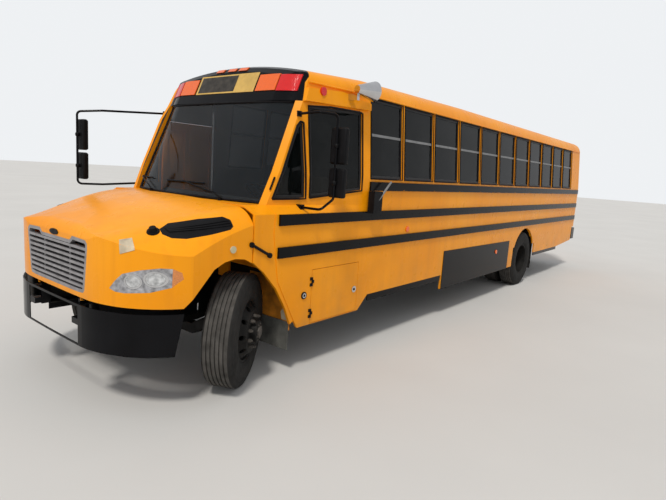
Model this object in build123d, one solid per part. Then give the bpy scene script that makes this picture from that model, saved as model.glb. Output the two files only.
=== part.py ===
from build123d import *
import math
import os

# School bus with a forward-tilting hood. Millimetres, +X to the front, +Y to the bus's left, +Z up.
# Stations along X are counted from a datum a little ahead of the front axle.
# Every solid is moved at the end so that the origin lies on the ground under the middle of the bus.

# Overall layout
wheelbase = 7112
front_overhang = 1085
rear_overhang = 3713
front_axle_x = -215
rear_axle_x = front_axle_x - wheelbase
front_face_x = front_axle_x + front_overhang
rear_face_x = rear_axle_x - rear_overhang
middle_x = (front_face_x + rear_face_x) / 2

# Body shell
body_half = 1219
tumblehome = 75
sill_z = 1930
window_top_z = 2769
wall_top_z = 2785
wall_thick = 45
skirt_thick = 25
floor_top_z = 990
floor_thick = 60
body_front_x = -525
body_rear_x = -10881
rear_wall_thick = 45
roof_z = 3085
roof_level_x = -4400
roof_corner_r = 240
roof_thick = 45
leaf_outer_y = 1189
leaf_thick = 36
leaf_pivot_y = leaf_outer_y - 6
entry_high_z = 2440
entry_front_x = -910

# The front of the body narrows above a shoulder
taper = 0.1
taper_rear_x = -1900
taper_front_x = -200
shoulder_low_z = 1570
shoulder_high_z = 1640
seat_gap = 0.3

# Side windows
window_pitch = 762
window_count = 11
first_window_front_x = -1934
first_pillar_x = -2606.5
pillar_width = 62
sash_width = 26
sash_thick = 24
glass_thick = 5

# Skirt and arches
skirt_front_z = 461
skirt_mid_z = 616
front_arch_top_z = 1205
rear_arch_r = 600

# Frame
rail_outer = 432
rail_flange = 89
rail_wall = 9
rail_bottom_z = 633
rail_top_z = 890
rail_front_x = 730
rail_rear_x = -10800
cross_member_depth = 45

# Wheels and steering
tyre_r = 516
tyre_half = 139
bead_r = 286
tread_half = 112
crown_half = 98
disc_offset = 168
kingpin_y = 880
kingpin_to_wheel = 128
steer_rest = 32
camber = 1.5
lean = math.radians(camber)
hub_z = tyre_r * math.cos(lean) + (crown_half + kingpin_to_wheel) * math.sin(lean)
spindle_r = 36
run_clear = 0.06
knuckle_arm = 165
tie_rod_drop = 120
rear_track_half = 905
dual_half_spacing = 163

# Hood
hood_rear_x = -262
hood_bottom_z = 868
hood_thick = 14
hood_gap = 8
hood_pivot_x = 790
hood_pivot_z = 845
cowl_half = 1213
cowl_skin = 30
cowl_top_z = 1640

# Front bumper
bumper_bottom_z = 485
bumper_top_z = 823
bumper_thick = 8


def block(x0, x1, y0, y1, z0, z1):
    corner = Pos(min(x0, x1), min(y0, y1), min(z0, z1))
    return corner * Box(abs(x1 - x0), abs(y1 - y0), abs(z1 - z0), align=(Align.MIN, Align.MIN, Align.MIN))


def rod(start, end, radius):
    start, end = Vector(*start), Vector(*end)
    return extrude(Plane(origin=start, z_dir=end - start) * Circle(radius), (end - start).length)


def tube_along(points, bend, radius):
    path = FilletPolyline(*points, radius=bend)
    return sweep(Plane(origin=path @ 0, z_dir=path % 0) * Circle(radius), path=path)


def side_plate(points, y0, y1):
    outline = [Vector(x, y0, z) for x, z in points]
    return extrude(make_face(Polyline(*outline, close=True)), abs(y1 - y0), dir=(0, 1 if y1 > y0 else -1, 0))


def cross_plate(points, x0, x1):
    outline = [Vector(x0, y, z) for y, z in points]
    return extrude(make_face(Polyline(*outline, close=True)), abs(x1 - x0), dir=(1 if x1 > x0 else -1, 0, 0))


def edges_prism(edges, amount, direction):
    return extrude(make_face(Wire(edges)), amount, dir=direction)


def other_side(shape):
    return mirror(shape, about=Plane.XZ)


def solids_of(shape):
    if isinstance(shape, (list, tuple)):
        return [solid for item in shape for solid in solids_of(item)]
    return list(shape.solids())


def hinge(x, y, low_z, pin_r, barrel_r, plate_a, plate_b):
    """A pin with two outer barrels for the fixed side and the middle barrel for the moving side."""
    length = 30
    gap = 0.5
    pin = rod((x, y, low_z), (x, y, low_z + 3 * length), pin_r)
    fixed = pin
    for k in (0, 2):
        z = low_z + k * length
        plate = block(plate_a[0], plate_a[1], plate_a[2], plate_a[3], z, z + length)
        fixed = fixed + rod((x, y, z), (x, y, z + length), barrel_r) + plate
    z0, z1 = low_z + length + gap, low_z + 2 * length - gap
    moving = rod((x, y, z0), (x, y, z1), barrel_r) + block(plate_b[0], plate_b[1], plate_b[2], plate_b[3], z0, z1)
    return fixed, moving - rod((x, y, z0 - 1), (x, y, z1 + 1), pin_r + run_clear)


nodes = {}


def keep(name, *shapes):
    nodes.setdefault(name, []).extend(solids_of(list(shapes)))


# Frame rails with cross members, hood hinge posts and tow eyes
def rail(side):
    web = block(rail_rear_x, rail_front_x, side * (rail_outer - rail_wall), side * rail_outer, rail_bottom_z, rail_top_z)
    low = block(rail_rear_x, rail_front_x, side * (rail_outer - rail_flange), side * rail_outer,
                rail_bottom_z, rail_bottom_z + rail_wall)
    high = block(rail_rear_x, rail_front_x, side * (rail_outer - rail_flange), side * rail_outer,
                 rail_top_z - rail_wall, rail_top_z)
    return web + low + high


keep("frame_rails", rail(1), rail(-1))
member_top_z = rail_top_z - rail_wall - seat_gap
member_half = rail_outer - rail_wall - seat_gap
for x in (640, -1700, -4200, -5700, -6600, -8000, -9400, -10700):
    keep("frame_rails", block(x - 50, x + 50, -member_half, member_half, member_top_z - cross_member_depth, member_top_z))
tow_eye_x = rail_rear_x - 100
tow_eye_z = 600
tow_eye_r = 22
tow_plate_thick = 20
for side in (1, -1):
    plate = block(tow_eye_x - 50, rail_rear_x + 80, side * member_half, side * (member_half - tow_plate_thick),
                  tow_eye_z - 45, 720)
    hole = rod((tow_eye_x, side * rail_outer, tow_eye_z), (tow_eye_x, side * (rail_outer - 60), tow_eye_z), tow_eye_r)
    plate -= block(tow_eye_x - 50, rail_rear_x + 90, side * (rail_outer - rail_flange - 5), side * rail_outer,
                   rail_bottom_z - seat_gap, rail_bottom_z + rail_wall + seat_gap) & block(
                       rail_rear_x - seat_gap, rail_rear_x + 90, -500, 500, 500, 800)
    keep("frame_rails", plate - hole)

# Engine as one plain block, the gearbox and the radiator
engine_half = 300
engine_top_z = 1380
gearbox_rear_x = -1350
engine_rear_x = -470
engine = block(engine_rear_x, 380, -engine_half, engine_half, 640, engine_top_z)
gearbox = block(gearbox_rear_x, engine_rear_x, -150, 150, 590, 840)
shaft_drop = Vector(rear_axle_x + 330, 0, tyre_r + 22) - Vector(gearbox_rear_x - 60, 0, 700)
shaft_front = Vector(gearbox_rear_x - 60, 0, 700)
shaft_rear = shaft_front + shaft_drop
shaft_way = shaft_drop.normalized()
flange = rod(shaft_front - shaft_way * 90, shaft_front, 60)
keep("engine", engine + gearbox + flange)
radiator_front_x = 620
radiator = block(radiator_front_x - 70, radiator_front_x, -330, 330, rail_top_z - rail_wall, 1290)
radiator += block(radiator_front_x - 85, radiator_front_x + 12, -345, 345, 1290, 1340)
keep("radiator", radiator)

# Front axle: a dropped beam with an eye for the kingpin at each end
beam_half_width = 45
beam_top_z = 470
boss_r = 42
boss_half = 54
kingpin_r = 20
beam_points = [(0, beam_top_z - 95), (520, beam_top_z - 95), (700, hub_z - 48), (kingpin_y, hub_z - 48),
               (kingpin_y, hub_z + 48), (680, hub_z + 48), (500, beam_top_z), (0, beam_top_z)]
beam_outline = beam_points + [(-y, z) for y, z in reversed(beam_points[1:-1])]
axle = cross_plate(beam_outline, front_axle_x - beam_half_width, front_axle_x + beam_half_width)
for side in (1, -1):
    foot = (front_axle_x, side * kingpin_y, hub_z - boss_half)
    head = (front_axle_x, side * kingpin_y, hub_z + boss_half)
    cut_low = block(front_axle_x - 60, front_axle_x + 60, side * (kingpin_y - 5), side * (kingpin_y + 60), 400, 660)
    axle = axle - cut_low + rod(foot, head, boss_r)
    axle -= rod((foot[0], foot[1], foot[2] - 5), (head[0], head[1], head[2] + 5), kingpin_r + run_clear)
keep("front_axle", axle)

# Leaf springs: front pair under the rails, rear pair outside them
spring_width = 76
spring_half_thick = 30
front_spring_y = 388
rear_spring_y = 520


def leaf_pack(centre_x, reach, middle_z, end_z, y, side):
    low, high = middle_z - spring_half_thick, middle_z + spring_half_thick
    points = [(centre_x - reach, end_z - 18), (centre_x - 90, low), (centre_x + 90, low),
              (centre_x + reach, end_z - 18), (centre_x + reach, end_z + 18), (centre_x + 90, high),
              (centre_x - 90, high), (centre_x - reach, end_z + 18)]
    return side_plate(points, side * (y - spring_width / 2), side * (y + spring_width / 2))


for side in (1, -1):
    front_pack = leaf_pack(front_axle_x, 620, beam_top_z + spring_half_thick, 585, front_spring_y, side)
    for x in (front_axle_x - 620, front_axle_x + 560):
        front_pack += block(x, x + 60, side * (front_spring_y - 30), side * (front_spring_y + 30), 585, rail_bottom_z)
    keep("leaf_springs", front_pack)
    rear_low_z = tyre_r + 72
    rear_pack = leaf_pack(rear_axle_x, 700, rear_low_z + spring_half_thick, 740, rear_spring_y, side)
    for x in (rear_axle_x - 700, rear_axle_x + 640):
        rear_pack += block(x, x + 60, side * rail_outer, side * (rear_spring_y + 38), 722, 830)
    keep("leaf_springs", rear_pack)

# Rear axle tube, differential and drive shaft; the shaft runs into a socket in the differential's nose
rear_tube_r = 70
rear_hub_inner_y = 560
axle_tube = rod((rear_axle_x, -rear_hub_inner_y, tyre_r), (rear_axle_x, rear_hub_inner_y, tyre_r), rear_tube_r)
spindle_end_y = rear_track_half + 60
axle_tube += rod((rear_axle_x, -spindle_end_y, tyre_r), (rear_axle_x, spindle_end_y, tyre_r), spindle_r)
axle_tube += Pos(rear_axle_x, 0, tyre_r) * Sphere(190)
axle_tube += rod(shaft_rear + shaft_way * 200, shaft_rear, 80)
axle_tube -= rod(shaft_rear - shaft_way, shaft_rear + shaft_way * 60, 50 + seat_gap)
for side in (1, -1):
    axle_tube += block(rear_axle_x - 60, rear_axle_x + 60, side * (rear_spring_y - 40), side * (rear_spring_y + 38),
                       tyre_r, tyre_r + 72)
keep("rear_axle", axle_tube)
keep("drive_shaft", rod(shaft_front + shaft_way * seat_gap, shaft_rear + shaft_way * (60 - seat_gap), 50))

# Exhaust: pipe and silencer between the rails
exhaust_y = -225
exhaust_z = 770
pipe = rod((engine_rear_x - seat_gap, exhaust_y, exhaust_z), (rail_rear_x - 40, exhaust_y, exhaust_z), 42)
pipe += rod((-2450, exhaust_y, exhaust_z), (-3500, exhaust_y, exhaust_z), 72)
keep("exhaust", pipe)

# Fuel tank hung from the right rail
tank = block(-3500, -2400, -1140, -480, 430, 830)
tank = fillet(tank.edges().filter_by(Axis.X), 60)
for x in (-3250, -2700):
    tank += block(x, x + 60, -520, -rail_outer, rail_bottom_z + 20, rail_top_z - 60)
keep("fuel_tank", tank)

# Floor with cross sills, stepwell and rear wheelhouses
step_rear_x = -1685
step_front_x = -900
floor_half = body_half - wall_thick - seat_gap
step_table = [(1152, 960, 475), (960, 760, 647), (760, 560, 819)]  # outer y, inner y, tread z
step_skin = 16
floor_under_z = floor_top_z - floor_thick
liner_x = -797
skirt_inner_y = 1183
front_well_inner_y = 600
front_well_z = 1058
front_well_skin = 12
floor = block(body_rear_x + seat_gap, body_front_x - seat_gap, -floor_half, floor_half, floor_under_z, floor_top_z)
floor -= block(step_rear_x - seat_gap, step_front_x + seat_gap, -body_half, -step_table[-1][1] + step_skin + seat_gap,
               floor_under_z - 10, floor_top_z + 10)
well_half_x = rear_arch_r + 15
well_top_z = 1165
well_inner_y = 588
for side in (1, -1):
    cut_half_x = well_half_x + step_skin + seat_gap
    floor -= block(rear_axle_x - cut_half_x, rear_axle_x + cut_half_x, side * (well_inner_y - step_skin - seat_gap),
                   side * body_half, floor_under_z - 10, floor_top_z + 10)
    house = block(rear_axle_x - well_half_x - step_skin, rear_axle_x + well_half_x + step_skin,
                  side * (well_inner_y - step_skin), side * floor_half, floor_under_z, well_top_z)
    house -= block(rear_axle_x - well_half_x, rear_axle_x + well_half_x, side * well_inner_y, side * body_half,
                   floor_under_z - 10, well_top_z - step_skin)
    keep("wheelhouses", house)
sill_count = 13
for k in range(sill_count):
    x = -1720 - k * window_pitch * 0.93
    if abs(x - rear_axle_x) > well_half_x + 60:
        floor += block(x - 25, x + 25, -1100, 1100, rail_top_z, floor_under_z)
steps = []
for outer_y, inner_y, tread_z in step_table:
    riser_top_z = tread_z + 172
    steps.append(block(step_rear_x, step_front_x, -outer_y, -inner_y, tread_z - step_skin, tread_z))
    steps.append(block(step_rear_x, step_front_x, -inner_y, -inner_y + step_skin, tread_z - step_skin,
                       min(riser_top_z, floor_top_z)))
    for x in (step_rear_x, step_front_x - step_skin):
        steps.append(block(x, x + step_skin, -outer_y, -inner_y + step_skin, tread_z - step_skin, floor_top_z))
step_pivot_y = -leaf_pivot_y
for x in (-924, -1658):
    steps.append(block(x - 14, x + 8 if x > -1000 else x + 14, -1140, step_pivot_y - 9, 459, 467))
    steps.append(rod((x, step_pivot_y, 460), (x, step_pivot_y, 500), 5))
keep("stepwell", steps[0] + steps[1:])
# Over each front tyre the floor is cut away and a box of three plates stands in its place
liner_rear_x = liner_x - front_well_skin
floor_front_x = body_front_x - seat_gap
well_edge_y = front_well_inner_y - front_well_skin
for side in (1, -1):
    floor -= block(liner_x, body_front_x, side * front_well_inner_y, side * body_half, floor_under_z - 10, floor_top_z + 10)
    floor += block(liner_rear_x, liner_x, side * front_well_inner_y, side * (skirt_inner_y - seat_gap), 440, floor_under_z)
    low_z, high_z = floor_top_z + seat_gap, front_well_z - seat_gap
    keep("wheelhouses", block(liner_rear_x, floor_front_x, side * well_edge_y, side * floor_half, front_well_z,
                              front_well_z + front_well_skin))
    keep("wheelhouses", block(liner_rear_x, floor_front_x, side * well_edge_y, side * front_well_inner_y, low_z, high_z))
    keep("wheelhouses", block(liner_rear_x, liner_x, side * (front_well_inner_y + seat_gap), side * floor_half, low_z,
                              high_z))
keep("floor", floor)


# Side walls: one section drawn across the wall at each station, cut by the side outline and the windows.
# On the right the door frame stays flat, so the narrowing begins over the door and ahead of it.
def side_y(x, z, right=False):
    lean = max(0, z - sill_z) * tumblehome / (wall_top_z - sill_z)
    if right and x <= entry_front_x:
        share = (z - entry_high_z) / (wall_top_z - entry_high_z)
    else:
        share = (z - shoulder_low_z) / (shoulder_high_z - shoulder_low_z)
    return body_half - lean - taper * max(0, x - taper_rear_x) * min(1, max(0, share))


def side_points(x, inset, low_z, high_z, right=False):
    kinks = [z for z in (shoulder_low_z, shoulder_high_z, sill_z, entry_high_z) if low_z < z < high_z]
    return [(side_y(x, z, right) - inset, z) for z in [low_z] + kinks + [high_z]]


def cross_face(x, points):
    return make_face(Polyline(*[Vector(x, y, z) for y, z in points], close=True))


def wall_sheet(inset_out, inset_in, low_z, high_z, right=False):
    faces = []
    for x in [taper_rear_x] + ([entry_front_x] if right else []) + [taper_front_x]:
        inner = side_points(x, inset_in, low_z, high_z, right)
        faces.append(cross_face(x, side_points(x, inset_out, low_z, high_z, right) + inner[::-1]))
    return extrude(faces[0], taper_rear_x - body_rear_x, dir=(-1, 0, 0)) + loft(faces, ruled=True)


def front_form(inset, low_z, high_z):
    faces = []
    for x in (taper_rear_x, taper_front_x):
        points = side_points(x, inset, low_z, high_z)
        faces.append(cross_face(x, points + [(-y, z) for y, z in points[::-1]]))
    return loft(faces, ruled=True)


def wall_solid(right):
    return (wall_sheet(0, wall_thick, floor_under_z, wall_top_z, right)
            + wall_sheet(0, skirt_thick, 350, floor_under_z, right))


glass_lean = math.atan((867 - 488) / (2571 - 1714))
cap_low_z = 2605


def post_edge_x(z):
    return -551 - math.tan(glass_lean) * (z - 1714)


# The seam between the cap and what lies behind it, in side view
cap_seam = [(post_edge_x(cap_low_z), cap_low_z), (-1004, wall_top_z), (-1120, 2980), (-1230, 3110)]
wall_front = [cap_seam[1], cap_seam[0], (post_edge_x(cowl_top_z), cowl_top_z), (-500, 1400), (-575, 950), (-700, 740),
              (-815, 540)]
wall_outline = wall_front + [(-865, skirt_front_z), (-1855, skirt_front_z), (-2029, skirt_mid_z), (-3862, skirt_mid_z),
                             (-3862, 412), (-6735, 432), (-6735, 780), (-7950, 780), (-7975, 590), (-9620, 592),
                             (-10780, 665), (-10800, 990), (body_rear_x, 990), (body_rear_x, wall_top_z)]

# Window openings on a side: corner lists in X and Z
pane_low_z = sill_z
pane_high_z = window_top_z
window_edges = [(first_window_front_x, first_pillar_x + pillar_width / 2)]
for k in range(window_count - 1):
    front = first_pillar_x - k * window_pitch - pillar_width / 2
    window_edges.append((front, front + pillar_width - window_pitch))
side_windows = [[(a, pane_low_z), (b, pane_low_z), (b, pane_high_z), (a, pane_high_z)] for a, b in window_edges]
driver_window = [(-1045, 1716), (-1021, 2577), (-1776, 2597), (-1778, 1797)]
quarter_window = [(-592, 1702), (-875, 2365), (-912, 2405), (-945, 2400), (-978, 1708)]
right_quarter = [(-592, 1702), (-835, 2290), (-858, 2310), (-872, 2290), (-872, 1708)]


def opening(points):
    return side_plate(points, body_half - 300, body_half + 50)


def shrink(points, inset):
    outline = make_face(Polyline(*[Vector(x, 0, z) for x, z in points], close=True))
    smaller = offset(outline, -inset, kind=Kind.INTERSECTION)
    return extrude(Pos(0, body_half + 50, 0) * smaller, 350, dir=(0, -1, 0))


rear_arch = rod((rear_axle_x, body_half - 100, tyre_r), (rear_axle_x, body_half + 100, tyre_r), rear_arch_r)
battery_door = (-1821, -1044, 468, 1016)  # rear x, front x, low z, high z
door_gap = 5
left_wall = wall_solid(False) & side_plate(wall_outline, body_half - 300, body_half + 100)
left_wall -= rear_arch
for points in side_windows + [driver_window, quarter_window]:
    left_wall -= opening(points)
left_wall -= block(battery_door[0], battery_door[1], body_half - 60, body_half + 60, battery_door[2], battery_door[3])
battery_leaf = block(battery_door[0] + door_gap, battery_door[1] - door_gap, body_half - 22, body_half,
                     battery_door[2] + door_gap, battery_door[3] - door_gap)
battery_hinge = (battery_door[1] - 2.5, body_half + 8)
for z in (530, 850):
    x, y = battery_hinge
    fixed, moving = hinge(x, y, z, 3.5, 7, (x, x + 28, body_half - 1, y), (x - 28, x, body_half - 1, y))
    left_wall += fixed
    battery_leaf += moving
header = [(-947, 2608), (-1880, 2632), (-1880, 2700), (-1440, 2760), (-988, 2732)]
header_out = 40
left_wall += wall_sheet(-header_out, wall_thick, 2600, wall_top_z) & side_plate(header, 900, 1300)
seam = block(taper_rear_x - seat_gap / 2, taper_rear_x + seat_gap / 2, 900, 1400, 300, 2900)
keep("wall_left", left_wall - seam)
keep("battery_door", battery_leaf)

# Right wall: the same panels with the entrance in place of the driver's window
entry_rear_x = -1672
entry_low_z = 470
right_wall = wall_solid(True) & side_plate(wall_outline, body_half - 300, body_half + 100)
right_wall -= rear_arch
for points in side_windows + [right_quarter]:
    right_wall -= opening(points)
right_wall -= block(entry_rear_x, entry_front_x, body_half - 200, body_half + 60, 300, entry_high_z)
leaf_gap = 8
leaf_pin_r = 5
leaf_pivot_x = (entry_front_x - leaf_gap - 6, entry_rear_x + leaf_gap + 6)
for x in leaf_pivot_x:
    right_wall += rod((x, leaf_pivot_y, entry_high_z - 30), (x, leaf_pivot_y, entry_high_z + 5), leaf_pin_r)
    right_wall += block(x - 10, x + 10, leaf_outer_y - 40, leaf_outer_y, entry_high_z, entry_high_z + 14)
keep("wall_right", other_side(right_wall - seam))

# Sashes and panes
sash_mid = wall_thick / 2
for points in side_windows + [driver_window, quarter_window]:
    is_side = points in side_windows
    rings, pane_sets = [], []
    for right in ((False, True) if points == quarter_window else (False,)):
        shape = right_quarter if right else points
        ring = wall_sheet(sash_mid - sash_thick / 2, sash_mid + sash_thick / 2, 1600, wall_top_z, right)
        rings.append((ring & shrink(shape, seat_gap)) - shrink(shape, sash_width))
        panes = wall_sheet(sash_mid - glass_thick / 2, sash_mid + glass_thick / 2, 1600, wall_top_z, right)
        pane_sets.append(panes & shrink(shape, sash_width + seat_gap))
    ring, panes = rings[0], pane_sets[0]
    if is_side:
        middle_z = (points[0][1] + points[2][1]) / 2 + 40
        bar = wall_sheet(sash_mid - sash_thick / 2, sash_mid + sash_thick / 2, middle_z - 14, middle_z + 14)
        bar = bar & shrink(points, sash_width - 1)
        ring += bar
        panes -= wall_sheet(sash_mid - 40, sash_mid + 40, middle_z - 14 - seat_gap, middle_z + 14 + seat_gap)
    keep("window_sashes", ring)
    keep("side_glass", panes)
    if points == quarter_window:
        ring, panes = rings[1], pane_sets[1]
    if points != driver_window:
        keep("window_sashes", other_side(ring))
        keep("side_glass", other_side(panes))


# Roof: a crown arc between two corner arcs, as a shell that drops a little towards the front
wall_lean = math.atan(tumblehome / (wall_top_z - sill_z))
top_y = body_half - tumblehome


def roof_edges(x, inset, low_z, top_z=roof_z, corner_r=roof_corner_r):
    corner_y = top_y - taper * max(0, x - taper_rear_x) - corner_r * math.cos(wall_lean)
    corner_z = wall_top_z - corner_r * math.sin(wall_lean)
    rise = top_z - corner_z
    crown_r = (corner_y ** 2 + rise ** 2 - corner_r ** 2) / (2 * (rise - corner_r))
    crown_c = top_z - crown_r
    tilt = math.asin(corner_y / (crown_r - corner_r))
    crown_r -= inset
    corner_r -= inset
    joint = Vector(x, crown_r * math.sin(tilt), crown_c + crown_r * math.cos(tilt))
    bend = (tilt + math.pi / 2) / 2
    mid = Vector(x, corner_y + corner_r * math.sin(bend), corner_z + corner_r * math.cos(bend))
    side_y = corner_y + corner_r
    if low_z < corner_z:
        start = Vector(x, side_y, corner_z)
        foot = Vector(x, side_y, low_z)
    else:
        start = Vector(x, corner_y + math.sqrt(corner_r ** 2 - (low_z - corner_z) ** 2), low_z)
        foot = start

    def flip(point):
        return Vector(x, -point.Y, point.Z)

    edges = [ThreePointArc(start, mid, joint), ThreePointArc(joint, Vector(x, 0, crown_c + crown_r), flip(joint)),
             ThreePointArc(flip(joint), flip(mid), flip(start)), Line(flip(foot), foot)]
    if low_z < corner_z:
        edges += [Line(foot, start), Line(flip(start), flip(foot))]
    return edges


# The roof drops and its corners get tighter towards the front
roof_stations = [(roof_level_x, roof_z, roof_corner_r), (taper_rear_x, 3025, 190), (-600, 2985, 109)]  # x, top z, corner


def roof_loft(stations, inset, low_z):
    return loft([make_face(Wire(roof_edges(x, inset, low_z, top_z, r))) for x, top_z, r in stations], ruled=True)


roof_low_z = wall_top_z + seat_gap
roof = edges_prism(roof_edges(body_rear_x + seat_gap, 0, roof_low_z), roof_level_x - body_rear_x - seat_gap, (1, 0, 0))
roof -= edges_prism(roof_edges(body_rear_x - 50, roof_thick, roof_low_z - 60), roof_level_x - body_rear_x + 50, (1, 0, 0))
roof += roof_loft(roof_stations, 0, roof_low_z) - roof_loft(roof_stations, roof_thick, roof_low_z - 60)
seam_rear = [(x - seat_gap, z) for x, z in cap_seam]
roof &= side_plate([(body_rear_x, 2700)] + seam_rear + [(body_rear_x, 3110)], -1300, 1300)
keep("roof", roof)

# Rear wall with its door
rear_outer_x = body_rear_x - rear_wall_thick
rear_door_half = 485
rear_door_low_z = 1030
rear_door_high_z = 2640
rear_wall = edges_prism(roof_edges(rear_outer_x, 0, wall_top_z), rear_wall_thick, (1, 0, 0))
rear_wall += cross_plate([(-body_half, 990), (body_half, 990), (body_half, sill_z), (top_y, wall_top_z),
                          (-top_y, wall_top_z), (-body_half, sill_z)], rear_outer_x, body_rear_x)
rear_wall -= block(rear_outer_x - 10, body_rear_x + 10, -rear_door_half, rear_door_half, rear_door_low_z, rear_door_high_z)
rear_window = (620, 1080, 1930, 2620)  # inner y, outer y, low z, high z
for side in (1, -1):
    rear_wall -= block(rear_outer_x - 10, body_rear_x + 10, side * rear_window[0], side * rear_window[1],
                       rear_window[2], rear_window[3])
    pane_mid_x = body_rear_x - rear_wall_thick / 2
    keep("side_glass", block(pane_mid_x - glass_thick / 2, pane_mid_x + glass_thick / 2,
                             side * (rear_window[0] + seat_gap), side * (rear_window[1] - seat_gap),
                             rear_window[2] + seat_gap, rear_window[3] - seat_gap))
rear_hinge = (rear_outer_x - 12, -rear_door_half + 2.5)
hinge_leaves = []
for z in (1200, 1750, 2450):
    x, y = rear_hinge
    fixed, moving = hinge(x, y, z, 5, 10, (rear_outer_x + 1, x, y - 45, y), (rear_outer_x + 1, x, y, y + 45))
    rear_wall += fixed
    hinge_leaves.append(moving)
keep("rear_wall", rear_wall)


# A framed door leaf with glass; the leaf lies in a plane and its frame is inset on each side
def rear_leaf():
    leaf = block(rear_outer_x, body_rear_x, -rear_door_half + door_gap, rear_door_half - door_gap,
                 rear_door_low_z + door_gap, rear_door_high_z - door_gap)
    panes = []
    for low_z, high_z in ((1880, 2540), (1120, 1560)):
        half = rear_door_half - 110
        leaf -= block(rear_outer_x - 10, body_rear_x + 10, -half, half, low_z, high_z)
        panes.append(block(pane_mid_x - glass_thick / 2, pane_mid_x + glass_thick / 2, -half + seat_gap, half - seat_gap,
                           low_z + seat_gap, high_z - seat_gap))
    for moving in hinge_leaves:
        leaf += moving
    return [leaf] + panes


keep("rear_door", rear_leaf())

# Entrance door: two leaves that swing outward
entry_mid_x = (entry_rear_x + entry_front_x) / 2
for name, x0, x1, pivot_x in (("entry_door_front", entry_mid_x + door_gap / 2, entry_front_x - leaf_gap, leaf_pivot_x[0]),
                              ("entry_door_rear", entry_rear_x + leaf_gap, entry_mid_x - door_gap / 2, leaf_pivot_x[1])):
    leaf = block(x0, x1, leaf_outer_y - leaf_thick, leaf_outer_y, entry_low_z + door_gap, entry_high_z - door_gap)
    leaf -= rod((pivot_x, leaf_pivot_y, entry_high_z - 40), (pivot_x, leaf_pivot_y, entry_high_z), leaf_pin_r + run_clear)
    leaf -= rod((pivot_x, leaf_pivot_y, entry_low_z), (pivot_x, leaf_pivot_y, entry_low_z + 40), leaf_pin_r + run_clear)
    panes = []
    for low_z, high_z in ((610, 1330), (1430, 2350)):
        leaf -= block(x0 + 60, x1 - 60, body_half - 100, body_half + 10, low_z, high_z)
        pane_y = leaf_outer_y - leaf_thick / 2
        panes.append(block(x0 + 60 + seat_gap, x1 - 60 - seat_gap, pane_y - glass_thick / 2, pane_y + glass_thick / 2,
                           low_z + seat_gap, high_z - seat_gap))
    keep(name, [other_side(solid) for solid in [leaf] + panes])

# Battery tray behind the battery door
tray = block(-1650, -1000, rail_outer, 1150, 640, 660) + block(-1600, -1050, 620, 1120, 660, 880)
keep("battery_tray", tray)

# Cowl: firewall, side cheeks, top shelf and windshield posts
cowl_front_x = hood_rear_x - hood_gap
arch_edge = [(cowl_front_x, 1160), (-400, 1060), (-560, 890), (-690, 690), (-770, 515)]
cheek = [(cowl_front_x, cowl_top_z)] + arch_edge + [(x + seat_gap, z) for x, z in reversed(wall_front[3:])]
cheek += [(post_edge_x(cowl_top_z) + seat_gap, cowl_top_z)]
firewall_front_x = body_front_x + cowl_skin
firewall = block(body_front_x, firewall_front_x, -floor_half, floor_half, front_well_z, cowl_top_z)
firewall += block(body_front_x, firewall_front_x, -620, 620, rail_top_z + 10, front_well_z)
cowl = block(post_edge_x(cowl_top_z) + 6, cowl_front_x, -floor_half, floor_half, cowl_top_z - 20, cowl_top_z)
cheek_inset = body_half - cowl_half
cheek_wall = wall_sheet(cheek_inset, cheek_inset + cowl_skin, 400, cowl_top_z) & side_plate(cheek, 900, 1300)
cowl = (cowl & front_form(cheek_inset, 400, cowl_top_z)) + cheek_wall + other_side(cheek_wall)
cowl += firewall & front_form(wall_thick + seat_gap, 400, cowl_top_z)
post_width = 62
post_levels = [cowl_top_z, sill_z, cap_low_z]
post_faces = []
for z in post_levels:
    x = post_edge_x(z)
    y = side_y(x, z)
    outline = [(x + 36, y - post_width), (x + seat_gap, y - 2), (x + seat_gap, y - wall_thick - 5),
               (x - 50, y - wall_thick - 5), (x - 50, y - post_width)]
    post_faces.append(make_face(Polyline(*[Vector(px, py, z) for px, py in outline], close=True)))
post = loft(post_faces, ruled=True)
cowl += [post, other_side(post)]
keep("cowl", cowl)


# Windshield: one bent sheet, straight between its lower and upper edges
def shield_row(z, middle_x, knee_x, knee_y, bend_x, bend_y):
    edge_x = post_edge_x(z)
    return z, middle_x, knee_x, knee_y, bend_x, bend_y, edge_x - 20, side_y(edge_x, z) - post_width - 0.5


shield_table = [shield_row(cowl_top_z + seat_gap, -340, -408, 600, -465, 830),
                shield_row(cap_low_z - seat_gap, -834, -850, 720, -896, 880)]


def shield_face(z, middle_x, knee_x, knee_y, bend_x, bend_y, end_x, end_y):
    front = [Vector(end_x, -end_y, z), Vector(bend_x, -bend_y, z), Vector(knee_x, -knee_y, z), Vector(middle_x, 0, z),
             Vector(knee_x, knee_y, z), Vector(bend_x, bend_y, z), Vector(end_x, end_y, z)]
    back = [point - Vector(glass_thick + 1, 0, 0) for point in front[::-1]]
    edges = [Line(front[-1], back[0]), Line(back[-1], front[0])]
    for row in (front, back):
        edges += [ThreePointArc(*row[k:k + 3]) for k in (0, 2, 4)]
    return make_face(Wire(edges))


keep("windshield", loft([shield_face(*row) for row in shield_table], ruled=True))

# Front cap over the windshield, with two lamps side by side let into each half of its face
cap_rear_x = -1400


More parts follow.
